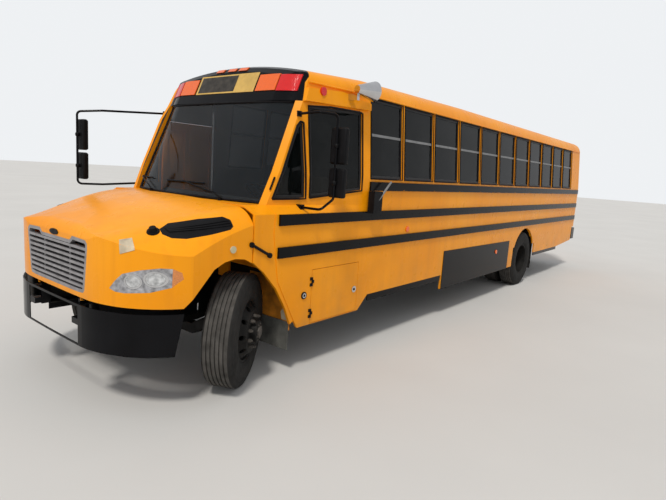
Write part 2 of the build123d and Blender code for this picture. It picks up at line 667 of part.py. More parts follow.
def cap_form(inset):
    form = roof_loft(roof_stations[1:], inset, wall_top_z - 1) + front_form(inset, cap_low_z, wall_top_z - 1)
    face_slope = math.tan(glass_lean)
    face = [(-822 - inset, cap_low_z), (-822 - inset - 500 * face_slope, cap_low_z + 500), (cap_rear_x, cap_low_z + 500),
            (cap_rear_x, cap_low_z)]
    form &= side_plate(face, -1300, 1300)
    brow = []
    for x, z in ((cap_rear_x - 100, 3040), (-1180, 3012), (-1075, 2996), (-1010, 2972), (-940, 2905)):
        left, right = Vector(x, 1300, z - 166 - inset), Vector(x, -1300, z - 166 - inset)
        low_left, low_right = Vector(x, 1300, 2300), Vector(x, -1300, 2300)
        top = Vector(x, 0, z - inset)
        brow.append(make_face(Wire([ThreePointArc(left, top, right), Line(right, low_right), Line(low_right, low_left),
                                    Line(low_left, left)])))
    form &= loft(brow, ruled=True) + block(-940, -700, -1300, 1300, 2300, 2900 - inset)
    low_z = cap_low_z - 50
    knee = Vector(-813 - inset, 765 - inset * 0.2, low_z)
    shoulder = Vector(-882 - inset * 0.9, 945 - inset * 0.4, low_z)
    corner = Vector(-930 - inset * 0.4, 1072 - inset, low_z)

    def flip(point):
        return Vector(point.X, -point.Y, point.Z)

    bend_a = Vector(-841 - inset, 862 - inset * 0.3, low_z)
    bend_b = Vector(-901 - inset * 0.7, 1022 - inset * 0.7, low_z)
    back = Vector(cap_rear_x - 10, corner.Y + 30, low_z)
    plan = [ThreePointArc(knee, Vector(-800 - inset, 0, low_z), flip(knee)),
            ThreePointArc(flip(knee), flip(bend_a), flip(shoulder)),
            ThreePointArc(flip(shoulder), flip(bend_b), flip(corner)), Line(flip(corner), flip(back)),
            Line(flip(back), back), Line(back, corner), ThreePointArc(corner, bend_b, shoulder),
            ThreePointArc(shoulder, bend_a, knee)]
    return form & edges_prism(plan, 800, (-face_slope, 0, 1))


front_lamps = [(488, 756, 2706, 2872), (770, 982, 2700, 2862)]  # inner y, outer y, low z, high z
cap_side = side_plate([(x + seat_gap, z) for x, z in cap_seam] + [(-500, 3110), (-500, cap_low_z)], -1300, 1300)
cap = (cap_form(0) - cap_form(30)) & cap_side
lamp_skin = (cap_form(-10) - cap_form(28)) & cap_side
for y0, y1, z0, z1 in front_lamps:
    for side in (1, -1):
        cap -= block(-1200, -700, side * y0, side * y1, z0, z1)
        keep("warning_lamps", lamp_skin & block(-1200, -700, side * (y0 + seat_gap), side * (y1 - seat_gap),
                                                z0 + seat_gap, z1 - seat_gap))
keep("front_cap", cap)

# Rub rails, skirt trim and black side panel
rail_out = 22
rail_table = [(1518, 50, -550), (1222, 50, -550), (1841, 48, -1916)]  # middle z, half height, front x
for z, half, front_x in rail_table:
    for side in (1, -1):
        spans = [(-10860, front_x)]
        if side < 0 and front_x > -1900:
            spans = [(-10860, -1705), (-880, front_x)]
        for x0, x1 in spans:
            keep("rub_rails", block(x0, x1, side * (body_half + seat_gap), side * (body_half + rail_out), z - half, z + half))
panel_x = (-6480, -3878)
for side in (1, -1):
    keep("skirt_trim", side_plate([(panel_x[0], 426), (panel_x[0], 930), (panel_x[1], 960), (panel_x[1], 412)],
                                  side * (body_half + seat_gap), side * (body_half + 8)))
    for x0, x1, z0, z1 in ((-3840, -2045, 537, skirt_mid_z), (-9615, -7990, 525, 590)):
        keep("skirt_trim", block(x0, x1, side * (body_half - 6), side * (body_half - 20), z0, z1 - seat_gap))

# Front bumper: bent plate with an opening, brackets and hood hinge posts
hinge_pin_r = 10


def bumper_plan(inset, grow):
    end = Vector(380 - grow, 1190 - inset, bumper_bottom_z)
    side_mid = Vector(650 - inset * 0.6, 1012 - inset * 0.8, bumper_bottom_z)
    corner = Vector(785 - inset * 0.9, 800 - inset * 0.5, bumper_bottom_z)
    bend = Vector(836 - inset, 672 - inset * 0.3, bumper_bottom_z)
    knee = Vector(864 - inset, 520, bumper_bottom_z)
    front = Vector(front_face_x - inset, 0, bumper_bottom_z)

    def swap(point):
        return Vector(point.X, -point.Y, point.Z)

    return [ThreePointArc(knee, front, swap(knee)), ThreePointArc(swap(knee), swap(bend), swap(corner)),
            ThreePointArc(swap(corner), swap(side_mid), swap(end)), Line(swap(end), end),
            ThreePointArc(end, side_mid, corner), ThreePointArc(corner, bend, knee)]


height = bumper_top_z - bumper_bottom_z
bumper = edges_prism(bumper_plan(0, 0), height, (0, 0, 1))
bumper -= Pos(0, 0, -10) * edges_prism(bumper_plan(bumper_thick, 60), height + 20, (0, 0, 1))
bumper -= block(700, 900, -457, 457, 500, 803)
bumper &= side_plate([(393, bumper_top_z), (900, bumper_top_z), (900, bumper_bottom_z), (452, bumper_bottom_z)], -1300, 1300)
for side in (1, -1):
    bumper += block(rail_front_x + seat_gap, 862, side * 350, side * 425, 798, 810)
    bumper += block(rail_front_x + seat_gap, 862, side * 350, side * 425, 650, 700)
    bumper += block(845, 863, side * 350, side * 470, 650, 700)
    bumper += block(rail_front_x + seat_gap, hood_pivot_x + 16, side * 350, side * 370, 640, hood_pivot_z + 16)
    bumper += rod((hood_pivot_x, side * 360, hood_pivot_z), (hood_pivot_x, side * 430, hood_pivot_z), hinge_pin_r)
keep("front_bumper", bumper)

# Rear bumper
rear_bumper = block(rear_face_x, -10815, -1225, 1225, 690, 960)
rear_bumper -= block(rear_face_x + 12, -10700, -1213, 1213, 600, 1000)
for side in (1, -1):
    rear_bumper += block(rear_face_x + 6, rail_rear_x + 90, side * (rail_outer + seat_gap), side * 456, 680, 860)
keep("rear_bumper", rear_bumper)


# Hood: one outer form used again, smaller, for its hollow and for what is let into it
hood_sections = [  # x, half width, shoulder z, crown half width, crown edge z, centre z
    (-310, 1204, 1490, 1010, 1626, 1654),
    (200, 1216, 1330, 850, 1545, 1598),
    (500, 1219, 1190, 720, 1462, 1512),
    (860, 1219, 1030, 540, 1385, 1422)]


def hood_form(inset):
    faces = []
    for x, half, shoulder_z, crown_y, crown_z, centre_z in hood_sections:
        low = hood_bottom_z - (1 if inset == 0 else 60)
        a = Vector(x, half - inset, low)
        b = Vector(x, half - inset, shoulder_z - inset * 0.3)
        c = Vector(x, crown_y - inset * 0.4, crown_z - inset)
        bulge_y = (b.Y + c.Y) / 2 + (b.Y - c.Y) * 0.11
        bulge_z = (b.Z + c.Z) / 2 + (c.Z - b.Z) * 0.16
        mid = Vector(x, bulge_y, bulge_z)
        top = Vector(x, 0, centre_z - inset)

        def swap(point):
            return Vector(point.X, -point.Y, point.Z)

        faces.append(make_face(Wire([Line(a, b), ThreePointArc(b, mid, c), ThreePointArc(c, top, swap(c)),
                                     ThreePointArc(swap(c), swap(mid), swap(b)), Line(swap(b), swap(a)),
                                     Line(swap(a), a)])))
    form = loft(faces)
    low_z = hood_bottom_z - 200
    plan_end = Vector(340, 1214 - inset, low_z)
    plan_side = Vector(604 - inset * 0.6, 1052 - inset * 0.8, low_z)
    plan_corner = Vector(735 - inset * 0.85, 880 - inset * 0.5, low_z)
    plan_bend = Vector(798 - inset, 720 - inset * 0.3, low_z)
    plan_knee = Vector(829 - inset, 545, low_z)
    plan_front = Vector(836 - inset, 0, low_z)
    back = Vector(-600, 1206 - inset, low_z)

    def flip(point):
        return Vector(point.X, -point.Y, point.Z)

    plan = [Line(back, plan_end), ThreePointArc(plan_end, plan_side, plan_corner),
            ThreePointArc(plan_corner, plan_bend, plan_knee), ThreePointArc(plan_knee, plan_front, flip(plan_knee)),
            ThreePointArc(flip(plan_knee), flip(plan_bend), flip(plan_corner)),
            ThreePointArc(flip(plan_corner), flip(plan_side), flip(plan_end)), Line(flip(plan_end), flip(back)),
            Line(flip(back), back)]
    form &= edges_prism(plan, 1600, (0, 0, 1))
    y = -1400
    side = [Line(Vector(-600, y, 500), Vector(840 - inset, y, 500)),
            Line(Vector(840 - inset, y, 500), Vector(828 - inset, y, 1345)),
            ThreePointArc(Vector(828 - inset, y, 1345), Vector(798 - inset * 0.8, y, 1402 - inset * 0.6),
                          Vector(720, y, 1442 - inset)),
            Line(Vector(720, y, 1442 - inset), Vector(-600, y, 1860 - inset)),
            Line(Vector(-600, y, 1860 - inset), Vector(-600, y, 500))]
    form &= edges_prism(side, 2800, (0, 1, 0))
    return form


hood_outer = hood_form(0) & block(hood_rear_x, 900, -1300, 1300, hood_bottom_z, 1800)
front_arch = side_plate([(402, 700), (402, 868), (262, 1016), (140, 1147), (35, 1196), (-70, front_arch_top_z + 8),
                         (-180, front_arch_top_z - 6), (-262, 1158), (-400, 1100), (-400, 700)], 850, 1400)
grille_outline = [(-400, 906), (400, 906), (480, 912), (500, 935), (548, 1270), (545, 1310), (515, 1334), (300, 1340),
                  (255, 1304), (-255, 1304), (-300, 1340), (-515, 1334), (-545, 1310), (-548, 1270), (-500, 935), (-480, 912)]
lamp_outline = [(782, 1004), (830, 1068), (885, 1126), (1000, 1164), (1100, 1184), (1150, 1180), (1182, 1150), (1188, 1100),
                (1148, 1036), (1052, 996), (900, 980), (830, 984)]
louvre_outline = [(455, 1418), (440, 1450), (350, 1490), (150, 1530), (-30, 1552), (-72, 1530), (-66, 1478), (-30, 1455),
                  (150, 1420), (330, 1392), (420, 1395)]


def through_nose(points, inset):
    face = offset(make_face(Polyline(*[Vector(300, y, z) for y, z in points], close=True)), -inset,
                  kind=Kind.INTERSECTION)
    return extrude(face, 650, dir=(1, 0, 0))


def through_side(points, inset):
    face = offset(make_face(Polyline(*[Vector(x, 700, z) for x, z in points], close=True)), -inset,
                  kind=Kind.INTERSECTION)
    return extrude(face, 600, dir=(0, 1, 0))


left_cuts = [through_nose(lamp_outline, 0), through_side(louvre_outline, 0), front_arch]
hood = hood_outer - hood_form(hood_thick)
hood -= [through_nose(grille_outline, 0)] + left_cuts + [other_side(cut) for cut in left_cuts]
lamp = (hood_outer & through_nose(lamp_outline, seat_gap)) - hood_form(70)
louvre = (hood_outer & through_side(louvre_outline, seat_gap)) - hood_form(40)
keep("headlamps", lamp, other_side(lamp))
keep("hood_louvres", louvre, other_side(louvre))
for side in (1, -1):
    ear = block(hood_pivot_x - 22, hood_pivot_x + 38, side * 384, side * 404, hood_bottom_z + 2, hood_bottom_z + 17)
    ear += block(hood_pivot_x - 22, hood_pivot_x + 20, side * 384, side * 404, hood_pivot_z - 16, hood_bottom_z + 5)
    hood += ear
    hood -= rod((hood_pivot_x, side * 380, hood_pivot_z), (hood_pivot_x, side * 432, hood_pivot_z), hinge_pin_r + run_clear)
keep("hood", hood)

bar_count = 8
bars = [block(600, 900, -560, 560, 950 + k * 43, 971 + k * 43) for k in range(bar_count)]
nose_skin = (hood_outer & through_nose(grille_outline, seat_gap)) - hood_form(45)
grille = nose_skin - through_nose(grille_outline, 28)
for bar in bars:
    grille += nose_skin & bar
keep("grille", grille)


# Tyres and wheels, drawn about the Y axis with the outer side towards +Y
def ring_about_y(points):
    outline = [Vector(r, y, 0) for y, r in points]
    return revolve(make_face(Polyline(*outline, close=True)), Axis.Y)


tyre_profile = [(-118, bead_r), (-tyre_half, 390), (-132, 470), (-tread_half, tyre_r - 3), (-crown_half, tyre_r),
                (crown_half, tyre_r), (tread_half, tyre_r - 3), (132, 470), (tyre_half, 390), (118, bead_r)]
rim_profile = [(-118, bead_r - seat_gap), (118, bead_r - seat_gap), (118, 268), (96, 262), (disc_offset, 196),
               (disc_offset, 60), (disc_offset - 14, 60), (disc_offset - 14, 190), (82, 250), (-118, 264)]


def wheel_disc():
    holes = [Rot(0, 36 * k, 0) * rod((222, 40, 0), (222, 220, 0), 22) for k in range(10)]
    return ring_about_y(rim_profile) - holes


disc = wheel_disc()
drum_r = 215
front_hub = rod((0, -40, 0), (0, 225, 0), 95) + (rod((0, 46, 0), (0, 60, 0), drum_r - 5))
front_drum = rod((0, -88, 0), (0, 60, 0), drum_r) - rod((0, -95, 0), (0, 46, 0), drum_r - 15)
front_bore = rod((0, -50, 0), (0, 160, 0), spindle_r + run_clear)
front_rim = disc + front_hub + front_drum - front_bore
front_tyre = ring_about_y(tyre_profile)

knuckle_block = block(-50, 50, -kingpin_to_wheel + 50, -kingpin_to_wheel + 66, -92, 92)
for z0, z1 in ((60, 92), (-92, -60)):
    knuckle_block += block(-40, 40, -kingpin_to_wheel, -kingpin_to_wheel + 66, z0, z1)
    knuckle_block += rod((0, -kingpin_to_wheel, z0), (0, -kingpin_to_wheel, z1), 40)
knuckle_block += rod((0, -kingpin_to_wheel, -92), (0, -kingpin_to_wheel, 92), kingpin_r)
spindle = rod((0, -kingpin_to_wheel + 56, 0), (0, 155, 0), spindle_r)
spindle += rod((0, -kingpin_to_wheel + 60, 0), (0, -kingpin_to_wheel + 68, 0), 180)
arm_z = -tie_rod_drop
knuckle_block += block(-30, 30, -kingpin_to_wheel - 20, -kingpin_to_wheel + 20, arm_z - 10, -85)
knuckle_block += block(-knuckle_arm - 18, 30, -kingpin_to_wheel - 18, -kingpin_to_wheel + 18, arm_z - 10, arm_z + 10)
eye_half = 11
ball_gap = 5
ball_pin_r = 10
rod_drop = tie_rod_drop + 10 + ball_gap + eye_half
knuckle_block += rod((-knuckle_arm, -kingpin_to_wheel, arm_z), (-knuckle_arm, -kingpin_to_wheel, -rod_drop - eye_half),
                     ball_pin_r)


def place_front(shape, side, leaning):
    if side < 0:
        shape = other_side(shape)
    if leaning:
        pivot = Axis((0, -side * kingpin_to_wheel, 0), (1, 0, 0))
        shape = shape.rotate(pivot, -side * camber)
    shape = Pos(front_axle_x, side * (kingpin_y + kingpin_to_wheel), hub_z) * shape
    return shape.rotate(Axis((front_axle_x, side * kingpin_y, 0), (0, 0, 1)), steer_rest)


for side, word in ((1, "left"), (-1, "right")):
    keep("front_tyre_" + word, place_front(front_tyre, side, True))
    keep("front_rim_" + word, place_front(front_rim, side, True))
    keep("knuckle_" + word, place_front(knuckle_block, side, False) + place_front(spindle, side, True))

# Tie rod between the two arms, parallel to the axle
turn = math.radians(steer_rest)
rod_x = front_axle_x - knuckle_arm * math.cos(turn)
rod_shift_y = -knuckle_arm * math.sin(turn)
rod_z = hub_z - rod_drop
tie = rod((rod_x, rod_shift_y - kingpin_y, rod_z), (rod_x, rod_shift_y + kingpin_y, rod_z), 10)
for side in (1, -1):
    eye_y = rod_shift_y + side * kingpin_y
    tie += rod((rod_x, eye_y, rod_z - eye_half), (rod_x, eye_y, rod_z + eye_half), 20)
    tie -= rod((rod_x, eye_y, rod_z - 30), (rod_x, eye_y, rod_z + 30), ball_pin_r + run_clear)
keep("tie_rod", tie)

# Rear dual wheels: two tyres, two discs back to back, hub and drum
rear_table = (("left", 1), ("right", -1))
for word, side in rear_table:
    tyres, rims = [], None
    for inner in (True, False):
        y = rear_track_half + (-dual_half_spacing if inner else dual_half_spacing)
        turned = Pos(rear_axle_x, y, tyre_r) * (disc if inner else other_side(disc))
        tyres.append(Pos(rear_axle_x, y, tyre_r) * front_tyre)
        rims = turned if rims is None else rims + turned
    hub = rod((rear_axle_x, rear_track_half - 260, tyre_r), (rear_axle_x, rear_track_half + 95, tyre_r), 100)
    hub += rod((rear_axle_x, rear_track_half - 90, tyre_r), (rear_axle_x, rear_track_half - 70, tyre_r), 205)
    drum = rod((rear_axle_x, rear_track_half - 290, tyre_r), (rear_axle_x, rear_track_half - 70, tyre_r), 210)
    drum -= rod((rear_axle_x, rear_track_half - 300, tyre_r), (rear_axle_x, rear_track_half - 90, tyre_r), 195)
    rims = rims + hub + drum
    rims -= rod((rear_axle_x, 0, tyre_r), (rear_axle_x, spindle_end_y + 5, tyre_r), spindle_r + run_clear)
    if side < 0:
        tyres = [other_side(item) for item in tyres]
        rims = other_side(rims)
    keep("rear_tyres_" + word, tyres)
    keep("rear_rims_" + word, rims)

# Driver's place: dash, wheel with column, seat
dash = side_plate([(-525.3, 1290), (-525.3, 1640), (-570, 1680), (-770, 1640), (-810, 1520), (-640, 1290)], -560, 940)
keep("dash", dash)
wheel_centre = Vector(-970, 620, 1690)
wheel_tilt = Plane(origin=wheel_centre, z_dir=Vector(-0.5, 0, 0.866))
steering = wheel_tilt * Torus(225, 14)
steering += rod(wheel_centre, wheel_centre - Vector(-0.5, 0, 0.866) * 800, 25)
steering += wheel_tilt * Box(430, 30, 12)
steering += wheel_tilt * Box(30, 430, 12)
keep("steering_wheel", steering - block(-1000, -300, 400, 900, 500, front_well_z + front_well_skin + seat_gap))

bench_width = 930
bench_rows = 12
bench_first_x = -2120
bench_pitch = 715
bench_profile = [(0, 1330), (420, 1330), (445, 1380), (410, 1432), (60, 1420), (-70, 1990), (-110, 2020), (-160, 1990),
                 (-20, 1330)]
for k in range(bench_rows):
    x = bench_first_x - k * bench_pitch - 420
    for side in (1, -1):
        y0, y1 = side * 215, side * (215 + bench_width)
        keep("seats", side_plate([(x + dx, z) for dx, z in bench_profile], y0, y1))
        legs = block(x - 10, x + 400, side * 230, side * 1130, 1305, 1329.7)
        for dx in (20, 340):
            legs += block(x + dx, x + dx + 30, side * 260, side * 290, floor_top_z, 1305)
            legs += block(x + dx, x + dx + 30, side * 1080, side * 1110, floor_top_z, 1305)
        if abs(x + 200 - rear_axle_x) < 900:
            legs -= block(rear_axle_x - well_half_x - 20, rear_axle_x + well_half_x + 20, side * 1000, side * 1200,
                          900, well_top_z)
        keep("bench_frames", legs)
driver_x = -1500
keep("seats", side_plate([(driver_x + dx, z) for dx, z in bench_profile], 380, 880))
keep("bench_frames", block(driver_x + 40, driver_x + 380, 450, 810, floor_top_z, 1329.7))
keep("bench_frames", rod((-1180, -540, floor_top_z), (-1180, -540, 2700), 18))

# Lamps on the rear wall, the roof's front and the sides
rear_lamps = [("warning_lamps", 790, 2800, 85, 30), ("warning_lamps", 580, 2820, 85, 30),
              ("tail_lamps", 900, 1250, 90, 25), ("tail_lamps", 900, 1480, 60, 25)]  # node, y, z, radius, depth
for name, y, z, radius, depth in rear_lamps:
    for side in (1, -1):
        keep(name, rod((rear_outer_x - depth, side * y, z), (rear_outer_x - seat_gap, side * y, z), radius))
clearance_skin = cap_form(-12) - cap_form(-seat_gap)
for y in (-190, 5, 175):
    keep("marker_lamps", clearance_skin & block(-1200, -700, y - 60, y + 60, 2938, 2972))
side_lamps = [(-2797, body_half + seat_gap, 1329, 34), (-5860, body_half + 8 + seat_gap, 783, 34)]  # x, y, z, radius
for x, y, z, radius in side_lamps:
    for side in (1, -1):
        keep("marker_lamps", rod((x, side * y, z), (x, side * (y + 12), z), radius))
header_space = wall_sheet(-header_out - seat_gap, wall_thick, 2600, wall_top_z)
side_lamp_y = side_y(-1166, 2723) + header_out
keep("tail_lamps", rod((-1166, side_lamp_y - 30, 2723), (-1166, side_lamp_y + 14, 2723), 40) - header_space)

# Mirrors on tube brackets: beside the driver's window on the left, ahead of the windshield on the right
arm_feet = [(-895, 2482, 14, False), (-900, 1622, 30, False), (-940, 2520, 22, True), (-700, 1690, 14, True)]
foot_half = 26
foot_points = []
feet = []
for x, z, out, right in arm_feet:
    near = side_y(x, z, right) if right is False or x < entry_front_x else 1169
    foot = block(x - foot_half, x + foot_half, near - 60, near + out, z - foot_half, z + foot_half)
    foot -= wall_sheet(-seat_gap, 300, z - foot_half - 5, z + foot_half + 5, right)
    feet.append(other_side(foot) if right else foot)
    foot_points.append((x, (-1 if right else 1) * (near + out - 2), z))
left_arm = [foot_points[0], (-915, 1300, 2500), (-1042, 1420, 2486), (-1046, 1421, 1720), (-920, 1380, 1620),
            foot_points[1]]
right_arm = [foot_points[2], (-240, -1300, 2470), (-32, -1450, 2440), (-30, -1450, 1650), (-240, -1300, 1655),
             foot_points[3]]
keep("mirror_arms", tube_along(left_arm, 45, 12) + feet[:2], tube_along(right_arm, 45, 12) + feet[2:])
mirror_table = [(-1042, 1420, 2040, 2376), (-1042, 1420, 1730, 2008), (-31, -1450, 2023, 2362), (-31, -1450, 1701, 2001)]
for x, y, low_z, high_z in mirror_table:
    middle_z = (low_z + high_z) / 2
    post = left_arm if y > 0 else right_arm
    head = block(x - 85, x - 20, y - 92, y + 92, low_z, high_z)
    head += block(x - 25, x + 25, y - 25, y + 25, middle_z - 25, middle_z + 25)
    keep("mirrors", head - rod(post[2], post[3], 12 + seat_gap))

# Stop arm housing, roof lamp and mud flaps
keep("stop_arm", block(-2040, -1880, body_half + rail_out + seat_gap, body_half + 100, 1552, 1788)
     + block(-1990, -1930, body_half + seat_gap, body_half + rail_out + 5, 1600, 1760))
horn = Solid.make_cone(40, 100, 250, Plane(origin=(-1500, 1270, 2790), z_dir=(-1, 0.14, 0.05)))
horn += block(-1560, -1520, 1100, 1262, 2690, 2752) - header_space
keep("roof_lamp", horn)
for side in (1, -1):
    keep("mud_flaps", block(liner_x + seat_gap, liner_x + 8, side * 770, side * 1170, 236, 520))
    keep("mud_flaps", block(-8010, -8002, side * 660, side * 1170, 250, floor_under_z - seat_gap))

# Output, moved so that the origin is under the middle of the bus
os.makedirs("parts", exist_ok=True)
shift = Location((-middle_x, 0, 0))
for name, solids in nodes.items():
    moved = [shift * solid for solid in solids]
    export_step(moved[0] if len(moved) == 1 else Compound(children=moved), "parts/" + name + ".step")
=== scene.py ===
import math

import bpy
from mathutils import Matrix, Vector
from mathutils.bvhtree import BVHTree


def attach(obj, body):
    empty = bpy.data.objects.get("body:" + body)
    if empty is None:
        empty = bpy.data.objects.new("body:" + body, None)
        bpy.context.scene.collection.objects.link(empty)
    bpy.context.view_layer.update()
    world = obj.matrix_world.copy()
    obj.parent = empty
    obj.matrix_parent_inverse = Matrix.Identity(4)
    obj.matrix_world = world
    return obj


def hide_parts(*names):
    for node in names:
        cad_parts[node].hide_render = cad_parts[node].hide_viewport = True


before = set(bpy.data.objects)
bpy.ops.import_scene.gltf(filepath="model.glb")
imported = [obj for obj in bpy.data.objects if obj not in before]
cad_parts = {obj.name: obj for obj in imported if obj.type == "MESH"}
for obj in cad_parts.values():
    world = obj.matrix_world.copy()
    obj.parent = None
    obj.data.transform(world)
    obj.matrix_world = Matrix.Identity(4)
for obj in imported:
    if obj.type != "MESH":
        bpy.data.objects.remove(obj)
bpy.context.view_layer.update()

# Metres, in the frame's axes: +X to the front, +Y to the bus's left, +Z up.
# Stations along X are counted from a datum near the front axle, as in the part's source.
DATUM_X = 5.085
BODY_HALF = 1.219


def at(x, y, z):
    """A point from its station, its distance to the left and its height, all in metres."""
    return Vector((x + DATUM_X, y, z))


# Camera at the photograph's viewing angle
CAMERA_PLACE = at(2.65830, 4.37510, 1.99259)
CAMERA_RIGHT = Vector((-0.62545, 0.77749, 0.06571))
CAMERA_UP = Vector((-0.08148, -0.14883, 0.98550))
CAMERA_AHEAD = Vector((-0.77600, -0.61103, -0.15644))
PICTURE_WIDTH = 666
PICTURE_HEIGHT = 500
FOCAL_PIXELS = 506.93
SENSOR_MM = 36


def make_camera():
    data = bpy.data.cameras.new("camera")
    data.sensor_fit = "HORIZONTAL"
    data.sensor_width = SENSOR_MM
    data.lens = FOCAL_PIXELS * SENSOR_MM / PICTURE_WIDTH
    data.clip_end = 200
    camera = bpy.data.objects.new("camera", data)
    bpy.context.scene.collection.objects.link(camera)
    turn = Matrix((CAMERA_RIGHT, CAMERA_UP, -CAMERA_AHEAD)).transposed()
    camera.matrix_world = Matrix.Translation(CAMERA_PLACE) @ turn.to_4x4()
    bpy.context.scene.camera = camera


make_camera()


# Materials
def new_material(name, color, rough=0.5, metal=0.0, coat=0.0, specular=0.5):
    """A material with its shader, and the shader itself."""
    made = bpy.data.materials.new(name)
    made.use_nodes = True
    shader = made.node_tree.nodes["Principled BSDF"]
    shader.inputs["Base Color"].default_value = (*color, 1)
    shader.inputs["Roughness"].default_value = rough
    shader.inputs["Metallic"].default_value = metal
    shader.inputs["Coat Weight"].default_value = coat
    shader.inputs["Coat Roughness"].default_value = 0.08
    shader.inputs["Specular IOR Level"].default_value = specular
    return made, shader


def noise(made, scale, detail=4.0, stretch=(1, 1, 1)):
    """A noise texture over the object's own coordinates."""
    nodes, links = made.node_tree.nodes, made.node_tree.links
    place = nodes.new("ShaderNodeTexCoord")
    mapping = nodes.new("ShaderNodeMapping")
    mapping.inputs["Scale"].default_value = stretch
    texture = nodes.new("ShaderNodeTexNoise")
    texture.inputs["Scale"].default_value = scale
    texture.inputs["Detail"].default_value = detail
    links.new(place.outputs["Object"], mapping.inputs["Vector"])
    links.new(mapping.outputs["Vector"], texture.inputs["Vector"])
    return texture.outputs["Fac"]


def ramp(made, source, stops):
    """A colour ramp from a value; stops are (place, colour) pairs."""
    node = made.node_tree.nodes.new("ShaderNodeValToRGB")
    made.node_tree.links.new(source, node.inputs["Fac"])
    elements = node.color_ramp.elements
    elements[0].position, elements[0].color = stops[0][0], (*stops[0][1], 1)
    elements[-1].position, elements[-1].color = stops[-1][0], (*stops[-1][1], 1)
    for place, color in stops[1:-1]:
        added = elements.new(place)
        added.color = (*color, 1)
    return node.outputs["Color"]


def mix_color(made, factor, first, second, mode="MIX"):
    node = made.node_tree.nodes.new("ShaderNodeMix")
    node.data_type = "RGBA"
    node.blend_type = mode
    for socket, value in ((node.inputs[0], factor), (node.inputs[6], first), (node.inputs[7], second)):
        if isinstance(value, bpy.types.NodeSocket):
            made.node_tree.links.new(value, socket)
        elif isinstance(value, (int, float)):
            socket.default_value = value
        else:
            socket.default_value = (*value, 1)
    return node.outputs[2]


def height_band(made, low, high):
    """0 below low and 1 above high, along the object's own Z."""
    nodes, links = made.node_tree.nodes, made.node_tree.links
    place = nodes.new("ShaderNodeTexCoord")
    split = nodes.new("ShaderNodeSeparateXYZ")
    span = nodes.new("ShaderNodeMapRange")
    span.inputs["From Min"].default_value = low
    span.inputs["From Max"].default_value = high
    links.new(place.outputs["Object"], split.inputs["Vector"])
    links.new(split.outputs["Z"], span.inputs["Value"])
    return span.outputs["Result"]


def bump(made, shader, source, strength, distance):
    node = made.node_tree.nodes.new("ShaderNodeBump")
    node.inputs["Strength"].default_value = strength
    node.inputs["Distance"].default_value = distance
    made.node_tree.links.new(source, node.inputs["Height"])
    made.node_tree.links.new(node.outputs["Normal"], shader.inputs["Normal"])


def vary(made, shader, color, spread, scale, rough=(0.4, 0.6), relief=0.0, stretch=(1, 1, 1)):
    """Uneven colour, gloss and a slight relief, so that no surface is one flat tone."""
    fac = noise(made, scale, stretch=stretch)
    dark = tuple(c * (1 - spread) for c in color)
    light = tuple(min(1, c * (1 + spread)) for c in color)
    tone = ramp(made, fac, [(0.3, dark), (0.7, light)])
    made.node_tree.links.new(tone, shader.inputs["Base Color"])
    gloss = ramp(made, noise(made, scale * 3.1), [(0.3, (rough[0],) * 3), (0.7, (rough[1],) * 3)])
    made.node_tree.links.new(gloss, shader.inputs["Roughness"])
    if relief:
        bump(made, shader, noise(made, scale * 9), 0.4, relief)
    return tone


YELLOW = (1.0, 0.335, 0.0)


def paint_material(name, color, dusty=0.5):
    """Old body enamel: sun-faded patches, rain streaks and road dust towards the skirt."""
    made, shader = new_material(name, color, coat=0.06, specular=0.14)
    links = made.node_tree.links
    faded = (color[0], color[1] * 1.12 + 0.01, color[2] + 0.012)
    deep = tuple(c * 0.9 for c in color)
    tone = ramp(made, noise(made, 0.9, 6), [(0.3, deep), (0.75, faded)])
    streaks = ramp(made, noise(made, 7, 8, (1.6, 1.6, 0.12)), [(0.5, (0, 0, 0)), (0.95, (0.8, 0.8, 0.8))])
    tone = mix_color(made, streaks, tone, tuple(c * 0.8 + 0.01 for c in color))
    low = height_band(made, 1.15, 0.42)
    grit = ramp(made, noise(made, 3.2, 9), [(0.35, (0, 0, 0)), (0.8, (1, 1, 1))])
    dust = mix_color(made, 1.0, grit, low, "MULTIPLY")
    scaled = mix_color(made, dusty, (0, 0, 0), dust)
    tone = mix_color(made, scaled, tone, (0.34, 0.17, 0.05))
    links.new(tone, shader.inputs["Base Color"])
    gloss = ramp(made, noise(made, 5, 7), [(0.3, (0.24,) * 3), (0.75, (0.4,) * 3)])
    links.new(gloss, shader.inputs["Roughness"])
    bump(made, shader, noise(made, 160, 2), 0.06, 0.001)
    return made


def plain_material(name, color, spread=0.12, scale=6, rough=(0.4, 0.6), metal=0.0, relief=0.0, coat=0.0,
                   specular=0.4):
    made, shader = new_material(name, color, metal=metal, coat=coat, specular=specular)
    vary(made, shader, color, spread, scale, rough, relief)
    return made


def glass_material(name, tint, alpha, rough=0.03, specular=0.35):
    """Thin tinted glass with a film of dust."""
    made, shader = new_material(name, tint, rough, specular=specular)
    film = ramp(made, noise(made, 2.2, 8), [(0.4, tint), (0.9, tuple(t + 0.012 for t in tint))])
    made.node_tree.links.new(film, shader.inputs["Base Color"])
    shader.inputs["Alpha"].default_value = alpha
    made.surface_render_method = "BLENDED"
    return made


def lens_material(name, color, glow):
    """Ribbed coloured plastic over a reflector."""
    made, shader = new_material(name, color, 0.12, coat=0.4)
    ribs = noise(made, 70, 2, (1, 5, 5))
    tone = ramp(made, ribs, [(0.35, tuple(c * 0.5 for c in color)), (0.7, color)])
    made.node_tree.links.new(tone, shader.inputs["Base Color"])
    shader.inputs["Emission Color"].default_value = (*color, 1)
    shader.inputs["Emission Strength"].default_value = glow
    bump(made, shader, ribs, 0.3, 0.002)
    return made


